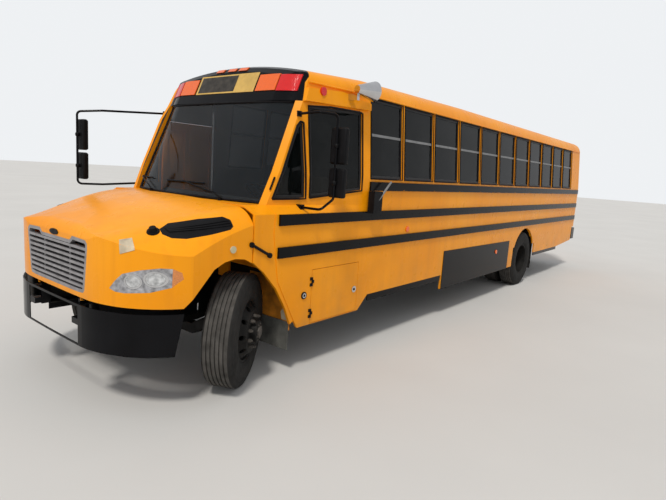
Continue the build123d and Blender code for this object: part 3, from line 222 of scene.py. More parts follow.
PAINT = paint_material("bus_paint", YELLOW)
BLACK = plain_material("black_enamel", (0.004, 0.004, 0.005), 0.3, 4, (0.08, 0.22), coat=0.03, specular=0.1)
SATIN_BLACK = plain_material("satin_black", (0.007, 0.007, 0.008), 0.3, 9, (0.35, 0.55), relief=0.001,
                             specular=0.1)
CHASSIS = plain_material("chassis_black", (0.014, 0.013, 0.012), 0.4, 5, (0.5, 0.75), relief=0.002,
                         specular=0.14)
RUBBER = plain_material("tyre_rubber", (0.022, 0.021, 0.020), 0.25, 7, (0.7, 0.9), relief=0.001,
                        specular=0.15)
GASKET = plain_material("gasket", (0.007, 0.007, 0.008), 0.2, 12, (0.5, 0.7), specular=0.12)
GLASS = glass_material("side_glass", (0.003, 0.004, 0.004), 0.86, specular=0.2)
SHIELD = glass_material("windshield_glass", (0.014, 0.018, 0.022), 0.42, specular=0.3)
SILVER = plain_material("grille_silver", (0.30, 0.29, 0.30), 0.2, 12, (0.3, 0.45), metal=0.5)
CHROME = plain_material("chrome", (0.62, 0.62, 0.63), 0.08, 8, (0.06, 0.18), metal=1.0)
ALUMINIUM = plain_material("aluminium", (0.26, 0.26, 0.26), 0.15, 20, (0.35, 0.5), metal=0.7)
DARK_SASH = plain_material("dark_sash", (0.016, 0.016, 0.017), 0.2, 20, (0.35, 0.5), specular=0.3)
RED = lens_material("red_lens", (0.80, 0.006, 0.006), 0.10)
AMBER_PALE = lens_material("pale_amber_lens", (0.85, 0.30, 0.08), 0.05)
AMBER = lens_material("amber_lens", (1.0, 0.15, 0.0), 0.12)
VINYL = plain_material("seat_vinyl", (0.02, 0.03, 0.028), 0.2, 14, (0.45, 0.65), relief=0.001)
DASH = plain_material("dash_plastic", (0.09, 0.09, 0.088), 0.15, 30, (0.55, 0.75), relief=0.001)
INSIDE = plain_material("cabin_lining", (0.30, 0.29, 0.26), 0.1, 4, (0.4, 0.6))
FLOORING = plain_material("floor_rubber", (0.02, 0.02, 0.02), 0.25, 9, (0.6, 0.8), relief=0.001)
SIGN_PALE = plain_material("sign_pale", (0.62, 0.40, 0.10), 0.15, 9, (0.35, 0.5))
SIGN_DARK = plain_material("sign_dark", (0.035, 0.030, 0.024), 0.5, 16, (0.5, 0.7))
# Pale worn paint for the arch edge, also used as a painted highlight on the hood
WORN_AND_HIGHLIGHT_WHITE = plain_material("worn_flap_and_highlight", (0.50, 0.42, 0.30), 0.45, 9, (0.6, 0.8))
GREY_ARM = plain_material("grey_arm", (0.22, 0.22, 0.22), 0.2, 12, (0.4, 0.55), metal=0.4)
PALE_TAPE = plain_material("pale_tape", (0.55, 0.50, 0.32), 0.1, 20, (0.3, 0.45))
LAMP_DARK = plain_material("lamp_housing", (0.40, 0.40, 0.42), 0.5, 26, (0.08, 0.2), metal=0.7)
GREY_FLAP = plain_material("grey_flap", (0.11, 0.11, 0.10), 0.3, 9, (0.6, 0.8), relief=0.001, specular=0.2)
TREAD_DUST = plain_material("tread_dust", (0.075, 0.070, 0.064), 0.35, 11, (0.75, 0.95), relief=0.001,
                            specular=0.15)
# A darker copy of the paint for the arch edge: worn paint, and painted shade behind the tyre
WORN_AND_SHADED_ARCH = plain_material("worn_arch", (0.62, 0.22, 0.02), 0.5, 7, (0.5, 0.7))
BOWL = plain_material("lamp_bowl", (0.62, 0.63, 0.64), 0.35, 34, (0.05, 0.14), metal=0.75)
RIM_STEEL = plain_material("hub_steel", (0.09, 0.08, 0.07), 0.4, 20, (0.45, 0.65), metal=0.5)
MIRROR_GLASS = plain_material("mirror_glass", (0.42, 0.44, 0.46), 0.05, 3, (0.02, 0.05), metal=1.0)

NODE_MATERIALS = {
    PAINT: ["wall_left", "wall_right", "roof", "rear_wall", "cowl", "hood", "rear_door", "entry_door_front",
            "entry_door_rear", "battery_door"],
    BLACK: ["front_bumper", "rear_bumper", "rub_rails", "skirt_trim", "front_cap", "mirror_arms"],
    SATIN_BLACK: ["mirrors", "stop_arm", "hood_louvres", "steering_wheel"],
    CHASSIS: ["frame_rails", "front_axle", "rear_axle", "leaf_springs", "fuel_tank", "drive_shaft",
              "battery_tray", "engine", "radiator", "knuckle_left", "knuckle_right", "tie_rod",
              "bench_frames", "exhaust", "front_rim_left", "front_rim_right", "rear_rims_left",
              "rear_rims_right"],
    RUBBER: ["front_tyre_left", "front_tyre_right", "rear_tyres_left", "rear_tyres_right", "mud_flaps"],
    GLASS: ["side_glass"], SHIELD: ["windshield"], DARK_SASH: ["window_sashes"], SILVER: ["grille"],
    CHROME: ["roof_lamp"], LAMP_DARK: ["headlamps"], RED: ["warning_lamps", "tail_lamps"],
    AMBER: ["marker_lamps"], VINYL: ["seats"], DASH: ["dash"], FLOORING: ["floor", "stepwell", "wheelhouses"],
}
for finish, names in NODE_MATERIALS.items():
    for name in names:
        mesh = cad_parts[name].data
        mesh.materials.clear()
        mesh.materials.append(finish)


# Second finishes on some faces of a node, picked by places in the frame's own axes
OUTER_SKIN_Y = 1.2195
REAR_WALL_OUTER_X = -5.8
POLE_X, POLE_Y, POLE_REACH = 3.905, -0.54, 0.03
SASH_BAR_LOW_Z, SASH_BAR_HIGH_Z, SASH_FRONT_X = 2.374, 2.405, 3.2
DOOR_HINGE_REAR_X, DOOR_HINGE_FRONT_X, DOOR_HINGE_TOP_Z = 4.0, 4.1, 1.0
ARCH_EDGE_REAR_X, ARCH_EDGE_FRONT_X, ARCH_EDGE_TOP_Z = 4.27, 4.30, 0.93
AMBER_HALF_FRONT, AMBER_HALF_REAR = 0.763, 0.69
LAMP_AMBER_Y = 1.150


def second_finish(node, finish, chosen):
    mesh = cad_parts[node].data
    mesh.materials.append(finish)
    for face in mesh.polygons:
        if chosen(face.center, face.normal):
            face.material_index = len(mesh.materials) - 1


def inner_side(place, normal):
    return normal.y * place.y < -0.3 * abs(place.y)


def is_pole(place, normal):
    return abs(place.x - POLE_X) < POLE_REACH and abs(place.y - POLE_Y) < POLE_REACH


def is_sash_bar(place, normal):
    return SASH_BAR_LOW_Z < place.z < SASH_BAR_HIGH_Z and place.x < SASH_FRONT_X


def is_door_hinge(place, normal):
    return (place.y > OUTER_SKIN_Y and DOOR_HINGE_REAR_X < place.x < DOOR_HINGE_FRONT_X
            and place.z < DOOR_HINGE_TOP_Z)


def is_arch_edge(place, normal):
    return normal.x > 0.9 and ARCH_EDGE_REAR_X < place.x < ARCH_EDGE_FRONT_X and place.z < ARCH_EDGE_TOP_Z


def is_amber_lamp(place, normal):
    return abs(place.y) < (AMBER_HALF_FRONT if place.x > 0 else AMBER_HALF_REAR)


for node in ("wall_left", "wall_right"):
    second_finish(node, INSIDE, inner_side)
second_finish("roof", INSIDE, lambda place, normal: normal.z < -0.1 or inner_side(place, normal))
second_finish("rear_wall", INSIDE, lambda place, normal: normal.x > 0.7 and place.x > REAR_WALL_OUTER_X)
second_finish("bench_frames", BOWL, is_pole)
second_finish("window_sashes", ALUMINIUM, is_sash_bar)
second_finish("battery_door", BLACK, lambda place, normal: place.y > OUTER_SKIN_Y)
second_finish("wall_left", BLACK, is_door_hinge)
second_finish("mud_flaps", GREY_FLAP, lambda place, normal: place.x > 0)
# The arch edge behind the front wheel gets worn paint darkened as painted shade
second_finish("floor", WORN_AND_SHADED_ARCH, is_arch_edge)
second_finish("warning_lamps", AMBER, is_amber_lamp)
second_finish("headlamps", AMBER_PALE, lambda place, normal: abs(place.y) > LAMP_AMBER_Y)


# The creases of the moulded nose and its neighbours look soft, as on the real panels
SOFT_NODES = ("hood", "cowl", "front_cap", "headlamps", "roof")
SOFT_EDGE = math.radians(38)
for node in SOFT_NODES:
    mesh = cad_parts[node].data
    mesh.polygons.foreach_set("use_smooth", [True] * len(mesh.polygons))
    mesh.set_sharp_from_angle(angle=SOFT_EDGE)


# Shapes gathered into one mesh, with stations counted from the datum
class Heap:
    def __init__(self):
        self.points = []
        self.faces = []

    def add(self, points, faces):
        start = len(self.points)
        self.points += [Vector(point) for point in points]
        self.faces += [tuple(start + k for k in face) for face in faces]

    def box(self, x0, x1, y0, y1, z0, z1):
        corners = [(x, y, z) for x in (x0, x1) for y in (y0, y1) for z in (z0, z1)]
        self.add(corners, [(0, 1, 3, 2), (4, 6, 7, 5), (0, 4, 5, 1), (2, 3, 7, 6), (0, 2, 6, 4),
                           (1, 5, 7, 3)])

    def rod(self, start, end, radius, sides=14, end_radius=None):
        start, end = Vector(start), Vector(end)
        along = (end - start).normalized()
        across = along.orthogonal().normalized()
        other = along.cross(across)
        points = []
        for place, size in ((start, radius), (end, radius if end_radius is None else end_radius)):
            for k in range(sides):
                angle = 2 * math.pi * k / sides
                points.append(place + (across * math.cos(angle) + other * math.sin(angle)) * size)
        faces = [(k, (k + 1) % sides, sides + (k + 1) % sides, sides + k) for k in range(sides)]
        self.add(points, faces + [tuple(range(sides))[::-1], tuple(range(sides, 2 * sides))])

    def tube(self, path, radius, sides=8):
        path = [Vector(point) for point in path]
        points = []
        across = (path[1] - path[0]).orthogonal().normalized()
        for k, place in enumerate(path):
            ahead = (path[min(k + 1, len(path) - 1)] - path[max(k - 1, 0)]).normalized()
            across = (across - ahead * across.dot(ahead)).normalized()
            other = ahead.cross(across)
            for j in range(sides):
                angle = 2 * math.pi * j / sides
                points.append(place + (across * math.cos(angle) + other * math.sin(angle)) * radius)
        faces = []
        for k in range(len(path) - 1):
            for j in range(sides):
                a, b = k * sides + j, k * sides + (j + 1) % sides
                faces.append((a, b, b + sides, a + sides))
        last = (len(path) - 1) * sides
        self.add(points, faces + [tuple(range(sides))[::-1], tuple(range(last, last + sides))])

    def plate(self, grid, lift, thick):
        """A thin sheet over a grid of (point, normal) pairs, with its rim closed."""
        rows, columns = len(grid), len(grid[0])
        upper = [place + normal * (lift + thick) for row in grid for place, normal in row]
        lower = [place + normal * lift for row in grid for place, normal in row]
        count = rows * columns
        faces = []
        for i in range(rows - 1):
            for j in range(columns - 1):
                a = i * columns + j
                faces.append((a, a + 1, a + columns + 1, a + columns))
                faces.append((count + a, count + a + columns, count + a + columns + 1, count + a + 1))
        rim = list(range(columns)) + [i * columns + columns - 1 for i in range(1, rows)]
        rim += [(rows - 1) * columns + j for j in range(columns - 2, -1, -1)]
        rim += [i * columns for i in range(rows - 2, 0, -1)]
        for k, a in enumerate(rim):
            b = rim[(k + 1) % len(rim)]
            faces.append((b, a, count + a, count + b))
        self.add(upper + lower, faces)

    def turn(self, profile, place, sides=64):
        """A ring of revolution from (distance along the axle, radius) pairs; place puts a point in space."""
        points = []
        for k in range(sides):
            angle = 2 * math.pi * k / sides
            points += [place(Vector((r * math.sin(angle), y, r * math.cos(angle)))) for y, r in profile]
        count = len(profile)
        faces = []
        for k in range(sides):
            for j in range(count - 1):
                a, b = k * count + j, ((k + 1) % sides) * count + j
                faces.append((a, a + 1, b + 1, b))
        self.add(points, faces)

    def make(self, name, body, finish, smooth=None, bevel=0.0):
        mesh = bpy.data.meshes.new(name)
        mesh.from_pydata([at(*point) for point in self.points], [], self.faces)
        mesh.materials.append(finish)
        mesh.validate()
        made = bpy.data.objects.new(name, mesh)
        bpy.context.scene.collection.objects.link(made)
        if smooth is not None:
            mesh.polygons.foreach_set("use_smooth", [True] * len(mesh.polygons))
            mesh.set_sharp_from_angle(angle=math.radians(smooth))
        if bevel:
            modifier = made.modifiers.new("bevel", "BEVEL")
            modifier.width = bevel
            modifier.segments = 2
            modifier.limit_method = "ANGLE"
            modifier.angle_limit = math.radians(40)
        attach(made, body)
        return made


SIDES = (("left", 1), ("right", -1))
# Where rays start that look for a surface: ahead of the nose, the glass and the cap, beside the bus and above
NOSE_START = 1.2
GLASS_START = 1.0
CAP_START = 0.5
SIDE_START = 1.6
TOP_START = 2.2
BACKWARD, DOWNWARD = (-1, 0, 0), (0, 0, -1)
trees = {}


def surface_tree(node):
    if node not in trees:
        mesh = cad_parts[node].data
        corners = [tuple(face.vertices) for face in mesh.polygons]
        trees[node] = BVHTree.FromPolygons([vertex.co for vertex in mesh.vertices], corners)
    return trees[node]


def touch(nodes, start, way):
    """The first point of these nodes that a ray meets, and the way that its surface faces, or None."""
    start, way = at(*start), Vector(way).normalized()
    best = None
    for node in nodes:
        place, normal, _, reach = surface_tree(node).ray_cast(start, way)
        if place is not None and (best is None or reach < best[2]):
            best = (place, normal if normal.dot(way) < 0 else -normal, reach)
    return None if best is None else (best[0] - Vector((DATUM_X, 0, 0)), best[1])


def touch_side(nodes, x, z, side):
    """The outermost point of a side at a station and a height, or None."""
    return touch(nodes, (x, side * SIDE_START, z), (0, -side, 0))


def on_side(nodes, x, z, side):
    """The outermost place of a side, and the body's width where these nodes have an opening."""
    found = touch_side(nodes, x, z, side)
    return found[0] if found else Vector((x, side * BODY_HALF, z))


def front_grid(nodes, low, high, steps, start_x):
    """A grid of surface points between two corners (y, z), seen from the front."""
    grid = []
    for i in range(steps[1] + 1):
        z = low[1] + (high[1] - low[1]) * i / steps[1]
        row = []
        for j in range(steps[0] + 1):
            y = low[0] + (high[0] - low[0]) * j / steps[0]
            row.append(touch(nodes, (start_x, y, z), BACKWARD))
        grid.append(row)
    return grid


def seen(nodes, u, v):
    """The point of these nodes that shows at a place in the picture."""
    way = (CAMERA_AHEAD * FOCAL_PIXELS + CAMERA_RIGHT * (u - PICTURE_WIDTH / 2)
           - CAMERA_UP * (v - PICTURE_HEIGHT / 2))
    return touch(nodes, CAMERA_PLACE - Vector((DATUM_X, 0, 0)), way)


def seen_grid(nodes, corners, steps):
    """A grid between four corners given in the picture: low left, low right, high right, high left."""
    a, b, c, d = [Vector(corner) for corner in corners]
    grid = []
    for i in range(steps[1] + 1):
        v = i / steps[1]
        row = []
        for j in range(steps[0] + 1):
            u = j / steps[0]
            spot = (a * (1 - u) + b * u) * (1 - v) + (d * (1 - u) + c * u) * v
            row.append(seen(nodes, spot.x, spot.y))
        grid.append(row)
    return grid


RING_STEPS = 2


def polar(nodes, middle, inner, outer, sides, from_front):
    """Rings of surface points round a middle, each closed on itself, seen from the front or from the left."""
    grid = []
    for i in range(RING_STEPS + 1):
        radius = inner + (outer - inner) * i / RING_STEPS
        row = []
        for j in range(sides + 1):
            angle = 2 * math.pi * (j % sides) / sides
            u, v = middle[0] + radius * math.cos(angle), middle[1] + radius * math.sin(angle)
            if from_front:
                row.append(touch(nodes, (NOSE_START, u, v), BACKWARD))
            else:
                row.append(touch_side(nodes, u, v, 1))
        grid.append(row)
    return grid


def patch(name, body, finish, grid, lift, thick, smooth=35):
    """A thin plate over a grid of surface points."""
    heap = Heap()
    heap.plate(grid, lift, thick)
    heap.make(name, body, finish, smooth=smooth)


def button(name, body, finish, node, middle, inner, outer, lift, thick, from_front=False, sides=20):
    """A thin disc or ring on a node, seen from the left or from the front."""
    patch(name, body, finish, polar([node], middle, inner, outer, sides, from_front), lift, thick)


# Tyres with five grooves and ribs on their walls, turned from one profile in millimetres
STEER = math.radians(32)
CAMBER = math.radians(1.5)
KINGPIN_Y = 0.880
WHEEL_Y = 1.008
HUB_Z = 0.521739
FRONT_AXLE_X = -0.215
REAR_AXLE_X = -7.327
REAR_Y = 0.905
REAR_Z = 0.516
DUAL_SHIFT = 0.163
TREAD_R, GROOVE_R = 516, 503
GROOVES = (72, 36, 0, -36, -72)
GROOVE_TOP_HALF, GROOVE_FOOT_HALF = 6.5, 4.5
WALL_LINE = [(118, 286), (125, 291), (129, 306), (133, 312), (136, 345), (139, 388), (138, 424), (135, 444),
             (137, 449), (136, 458), (132, 463), (129, 482), (121, 501), (112, 511), (104, 514.5)]
TREAD_LINE = []
for middle in GROOVES:
    TREAD_LINE += [(middle + GROOVE_TOP_HALF, TREAD_R), (middle + GROOVE_FOOT_HALF, GROOVE_R),
                   (middle - GROOVE_FOOT_HALF, GROOVE_R), (middle - GROOVE_TOP_HALF, TREAD_R)]
TYRE_MM = WALL_LINE + TREAD_LINE + [(-y, r) for y, r in reversed(WALL_LINE)] + [WALL_LINE[0]]
TYRE_LINE = [(y / 1000, r / 1000) for y, r in TYRE_MM]
TREAD_FROM = len(WALL_LINE) - 1
TREAD_TO = TREAD_FROM + len(TREAD_LINE)
WHEEL_NUTS, WHEEL_NUT_CIRCLE, WHEEL_NUT_SIZE, WHEEL_NUT_TIP = 10, 0.143, 0.0185, 0.012
CAP_NUTS, CAP_NUT_CIRCLE, CAP_NUT_SIZE, CAP_NUT_TIP = 8, 0.073, 0.010, 0.002
HUB_CAP_LINE = [(0.222, 0.056), (0.240, 0.052), (0.246, 0.040), (0.248, 0.0)]


def dusty_tread(tyre):
    """The segments of the profile that meet the road get the dusty finish."""
    tyre.data.materials.append(TREAD_DUST)
    count = len(TYRE_LINE) - 1
    for face in tyre.data.polygons:
        if TREAD_FROM <= face.index % count <= TREAD_TO:
            face.material_index = 1


def front_place(side):
    """Takes a point given about the middle of an upright, straight wheel to its leaned and steered place."""
    lean = Matrix.Rotation(-side * CAMBER, 3, "X")
    turn = Matrix.Rotation(STEER, 3, "Z")
    pivot = Vector((0, side * (KINGPIN_Y - WHEEL_Y), 0))
    pin = Vector((FRONT_AXLE_X, side * KINGPIN_Y, 0))

    def place(point):
        here = lean @ (Vector((point.x, side * point.y, point.z)) - pivot) + pivot
        here += Vector((FRONT_AXLE_X, side * WHEEL_Y, HUB_Z))
        return turn @ (here - pin) + pin

    return place


def rear_place(side, shift):
    def place(point):
        return Vector((REAR_AXLE_X + point.x, side * (REAR_Y + shift + point.y), REAR_Z + point.z))

    return place


def nuts(heap, place, count, radius, low, high, size, tip):
    """Hexagon nuts on their studs, in a circle."""
    for k in range(count):
        angle = 2 * math.pi * (k + 0.5) / count
        x, z = radius * math.cos(angle), radius * math.sin(angle)
        heap.rod(place(Vector((x, low, z))), place(Vector((x, high, z))), size, 6, size * 0.9)
        heap.rod(place(Vector((x, high, z))), place(Vector((x, high + tip, z))), size * 0.55, 8)


for word, side in SIDES:
    place = front_place(side)
    heap = Heap()
    heap.turn(TYRE_LINE, place, 96)
    tyre = heap.make("tread_front_" + word, "wheel_front_" + word, RUBBER, smooth=30)
    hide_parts("front_tyre_" + word)
    dusty_tread(tyre)
    heap = Heap()
    nuts(heap, place, WHEEL_NUTS, WHEEL_NUT_CIRCLE, 0.160, 0.196, WHEEL_NUT_SIZE, WHEEL_NUT_TIP)
    nuts(heap, place, CAP_NUTS, CAP_NUT_CIRCLE, 0.222, 0.232, CAP_NUT_SIZE, CAP_NUT_TIP)
    heap.turn(HUB_CAP_LINE, place, 32)
    heap.make("hub_bolts_front_" + word, "wheel_front_" + word, RIM_STEEL, smooth=35)
    heap = Heap()
    for shift in (DUAL_SHIFT, -DUAL_SHIFT):
        heap.turn(TYRE_LINE, rear_place(side, shift), 72)
    tyre = heap.make("tread_rear_" + word, "wheel_rear_" + word, RUBBER, smooth=30)
    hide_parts("rear_tyres_" + word)
    dusty_tread(tyre)
    heap = Heap()
    nuts(heap, rear_place(side, 0), WHEEL_NUTS, WHEEL_NUT_CIRCLE, 0.004, 0.040, WHEEL_NUT_SIZE, WHEEL_NUT_TIP)
    heap.make("hub_bolts_rear_" + word, "wheel_rear_" + word, RIM_STEEL, smooth=35)

# Lamps in the nose: two bowls on each lens, given by distance to the side, height and radius
LAMP_BOWLS = [(0.955, 1.075, 0.056), (1.075, 1.098, 0.060)]
BOWL_SIDES = 28
for word, side in SIDES:
    for k, (y, z, radius) in enumerate(LAMP_BOWLS):
        label = "lamp_bowl_" + word + "_" + str(k)
        middle = (side * y, z)
        button(label, "hood", CHROME, "headlamps", middle, radius * 0.80, radius, 0.0005, 0.003, True,
               BOWL_SIDES)
        button(label + "_lens", "hood", BOWL, "headlamps", middle, 0.0, radius * 0.78, 0.0005, 0.002, True,
               BOWL_SIDES)

# Dark sheet behind the bars of the grille, painted shade for the space there, with two uprights that carry
# the bars
GRILLE_LOW_Z = 0.9605
GRILLE_PITCH = 0.043
GRILLE_ROWS = 8
UPRIGHT_Y = 0.235
UPRIGHT_HALF = 0.009


def grille_grid(across):
    """Points on the grille at these distances to the left, one row for each bar."""
    return [[touch(["grille"], (NOSE_START, y, GRILLE_LOW_Z + GRILLE_PITCH * k), BACKWARD) for y in across]
            for k in range(GRILLE_ROWS)]


# A near-black sheet that paints the shade behind the bars
patch("grille_painted_shade", "hood", GASKET, grille_grid([-0.50 + 0.05 * j for j in range(21)]), -0.058, 0.002, 40)
heap = Heap()
for y in (-UPRIGHT_Y, UPRIGHT_Y):
    heap.plate(grille_grid([y - UPRIGHT_HALF, y + UPRIGHT_HALF]), -0.022, 0.008)
heap.make("grille_uprights", "hood", SILVER, smooth=40)

# Slats in the louvres beside the hood, each at a share of the opening's height
LOUVRE_FRONT_X, LOUVRE_LENGTH, LOUVRE_STEPS = 0.405, 0.46, 14
LOUVRE_TIP_X, LOUVRE_LOW_Z, LOUVRE_LOW_SLOPE = 0.455, 1.418, 0.078
LOUVRE_BEND_X, LOUVRE_HIGH_Z, LOUVRE_HIGH_SLOPE = -0.03, 1.555, 0.20
SLAT_SHARES = (0.14, 0.32, 0.50, 0.68, 0.86)
SLAT_HALF = 0.004
for word, side in SIDES:
    heap = Heap()
    for share in SLAT_SHARES:
        grid = []
        for lift_z in (-SLAT_HALF, SLAT_HALF):
            row = []
            for k in range(LOUVRE_STEPS + 1):
                x = LOUVRE_FRONT_X - LOUVRE_LENGTH * k / LOUVRE_STEPS
                low = LOUVRE_LOW_Z + (LOUVRE_TIP_X - x) * LOUVRE_LOW_SLOPE
                high = LOUVRE_HIGH_Z - max(0.0, x - LOUVRE_BEND_X) * LOUVRE_HIGH_SLOPE
                row.append(touch_side(["hood_louvres"], x, low + share * (high - low) + lift_z, side))
            grid.append(row)
        if all(cell for row in grid for cell in row):
            heap.plate(grid, -0.001, 0.007)
    heap.make("louvre_slats_" + word, "hood", SATIN_BLACK, smooth=40)

# Blank sign over the windshield, pale on its left part and weathered dark on the rest
CAP = ["front_cap"]
SIGN_STEPS = (24, 8)
sign = front_grid(CAP, (-0.46, 2.70), (0.46, 2.90), SIGN_STEPS, CAP_START)
patch("sign_panel", "body", SIGN_PALE, sign, 0.001, 0.004)
weathered = front_grid(CAP, (-0.43, 2.715), (0.16, 2.885), SIGN_STEPS, CAP_START)
patch("sign_weathered", "body", SIGN_DARK, weathered, 0.004, 0.0025)

# Windshield gasket, along the foot, up the left, back along the top and down the right
SHIELD_LOW_Z, SHIELD_HIGH_Z = 1.652, 2.594
SHIELD_LOW_HALF, SHIELD_HIGH_HALF = 0.99, 0.985
SHIELD_SIDE_Y, SHIELD_SIDE_LEAN = 1.006, 0.016
ACROSS_STEPS, UP_STEPS = 32, 20


def on_shield(y, z):
    return touch(["windshield"], (GLASS_START, y, z), BACKWARD)


def shield_side(k, side):
    z = SHIELD_LOW_Z + (SHIELD_HIGH_Z - SHIELD_LOW_Z) * k / UP_STEPS
    return on_shield(side * (SHIELD_SIDE_Y - SHIELD_SIDE_LEAN * k / UP_STEPS), z)


edge = [on_shield(-SHIELD_LOW_HALF + 2 * SHIELD_LOW_HALF * k / ACROSS_STEPS, SHIELD_LOW_Z)
        for k in range(ACROSS_STEPS + 1)]
edge += [shield_side(k, 1) for k in range(1, UP_STEPS)]
edge += [on_shield(SHIELD_HIGH_HALF - 2 * SHIELD_HIGH_HALF * k / ACROSS_STEPS, SHIELD_HIGH_Z)
         for k in range(ACROSS_STEPS + 1)]
edge += [shield_side(k, -1) for k in range(UP_STEPS - 1, 0, -1)]
heap = Heap()
found = [spot[0] + spot[1] * 0.002 for spot in edge if spot]
heap.tube(found + found[:1], 0.013, 6)
heap.make("shield_gasket", "body", GASKET, smooth=60)

# Wipers: arms from the cowl's top and blades along the foot of the glass, from a pivot's y to the arm's end
WIPERS = [(0.600, 0.02), (-0.535, -0.93)]
WIPER_X = -0.38
WIPER_POST = Vector((0, 0, 0.03))
ARM_STEPS, ARM_FOOT_Z, ARM_RISE = 8, 1.675, 0.10
BLADE_STEPS, BLADE_HALF, BLADE_Z, BLADE_TILT, BLADE_LIMIT_Y = 12, 0.30, 1.772, 0.012, 0.96
heap = Heap()
for pivot_y, end_y in WIPERS:
    foot = touch(["cowl", "windshield"], (WIPER_X, pivot_y, TOP_START), DOWNWARD)[0]
    heap.rod(foot, foot + WIPER_POST, 0.018)
    path = [foot + WIPER_POST]
    for k in range(1, ARM_STEPS + 1):
        y = pivot_y + (end_y - pivot_y) * k / ARM_STEPS
        spot = on_shield(y, ARM_FOOT_Z + ARM_RISE * k / ARM_STEPS)
        if spot:
            path.append(spot[0] + spot[1] * (0.045 if k < ARM_STEPS else 0.03))
    heap.tube(path, 0.007, 6)
    blade = []
    for k in range(BLADE_STEPS + 1):
        y = end_y + BLADE_HALF * (k / BLADE_STEPS - 0.5) * 2
        if abs(y) < BLADE_LIMIT_Y:
            spot = on_shield(y, BLADE_Z + BLADE_TILT * (y - end_y))
            if spot:
                blade.append(spot[0] + spot[1] * 0.014)
    heap.tube(blade, 0.008, 6)
heap.make("wipers", "body", SATIN_BLACK, smooth=50)

# Gaskets round the side windows, as thin black beads on the wall, and the rails over them
WINDOW_PITCH = 0.762
PANES = [(-1.934, -2.5755)] + [(-2.6375 - WINDOW_PITCH * k, -3.3375 - WINDOW_PITCH * k) for k in range(10)]
PANE_LOW_Z, PANE_HIGH_Z, PANE_INSET = 1.922, 2.774, 0.008
DRIVER_WINDOW = [(-1.037, 1.708), (-1.013, 2.569), (-1.784, 2.590), (-1.786, 1.789)]
QUARTER_WINDOW = [(-0.582, 1.694), (-0.870, 2.372), (-0.911, 2.413), (-0.950, 2.408), (-0.986, 1.700)]
DRIP_RAIL = [(-10.87, 1.150, 2.792), (-4.4, 1.150, 2.792), (-1.9, 1.150, 2.792), (-1.02, 1.062, 2.790)]
BEAD_STEPS = 5


def bead(heap, corners, side, nodes, radius):
    """A closed bead along straight lines between corners given by station and height."""
    path = []
    count = len(corners)
    for k in range(count):
        (xa, za), (xb, zb) = corners[k], corners[(k + 1) % count]
        for j in range(BEAD_STEPS):
            share = j / BEAD_STEPS
            spot = on_side(nodes, xa + (xb - xa) * share, za + (zb - za) * share, side)
            path.append(spot + Vector((0, side * radius * 0.2, 0)))
    heap.tube(path + path[:1], radius, 6)


for word, side in SIDES:
    heap = Heap()
    wall = ["wall_" + word]
    for front, rear in PANES:
        front, rear = front + PANE_INSET, rear - PANE_INSET
        corners = [(front, PANE_LOW_Z), (rear, PANE_LOW_Z), (rear, PANE_HIGH_Z), (front, PANE_HIGH_Z)]
        bead(heap, corners, side, wall, 0.009)
    if side > 0:
        bead(heap, DRIVER_WINDOW, side, wall, 0.010)
        bead(heap, QUARTER_WINDOW, side, wall, 0.010)
    heap.make("window_gaskets_" + word, "body", GASKET, smooth=60)
    heap = Heap()
    heap.tube([(x, side * y, z) for x, y, z in DRIP_RAIL], 0.010, 8)
    heap.make("drip_rail_" + word, "body", PAINT, smooth=60)

# Rivets on the posts between the windows, in a line under the windows and along the rub rails
POST_X, POST_COUNT = -2.6065, 12
POST_RIVETS_Z = [1.30] + [1.62 + 0.045 * j for j in range(5)] + [1.36, 1.42]
SILL_RIVETS = [-1.96 - 0.138 * k for k in range(64)]
RAIL_RIVETS = [-0.70 - 0.18 * k for k in range(56)]
SILL_RIVET_Z, RAILS_Z = 1.905, (1.222, 1.518)


def rivet(heap, word, side, x, z, size=0.006):
    spot = touch_side(["wall_" + word, "rub_rails"], x, z, side)
    if spot:
        heap.rod(spot[0] - spot[1] * 0.001, spot[0] + spot[1] * 0.0035, size, 6, size * 0.5)


for word, side in SIDES:
    heap = Heap()
    for k in range(POST_COUNT):
        for z in POST_RIVETS_Z:
            rivet(heap, word, side, POST_X - WINDOW_PITCH * k, z)
    for x in SILL_RIVETS:
        rivet(heap, word, side, x, SILL_RIVET_Z, 0.005)
    heap.make("rivets_" + word, "body", PAINT, smooth=50)
    heap = Heap()
    for z in RAILS_Z:
        for x in RAIL_RIVETS:
            rivet(heap, word, side, x, z)
    heap.make("rail_rivets_" + word, "body", BLACK, smooth=50)

# Mirror heads: rounded black shells with glass that looks back, given by x, y, lowest and highest z
MIRRORS = [(-1.042, 1.420, 2.040, 2.376), (-1.042, 1.420, 1.730, 2.008), (-0.031, -1.450, 2.023, 2.362),
           (-0.031, -1.450, 1.701, 2.001)]
shells, glass = Heap(), Heap()
for x, y, low, high in MIRRORS:
    shells.box(x - 0.083, x - 0.022, y - 0.090, y + 0.090, low + 0.002, high - 0.002)
    middle = (low + high) / 2
    shells.box(x - 0.024, x + 0.020, y - 0.022, y + 0.022, middle - 0.024, middle + 0.024)
    glass.box(x - 0.0855, x - 0.0832, y - 0.078, y + 0.078, low + 0.016, high - 0.016)
made = shells.make("mirror_shells", "body", SATIN_BLACK, smooth=40, bevel=0.018)
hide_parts("mirrors")
glass.make("mirror_glass", "body", MIRROR_GLASS, bevel=0.001)

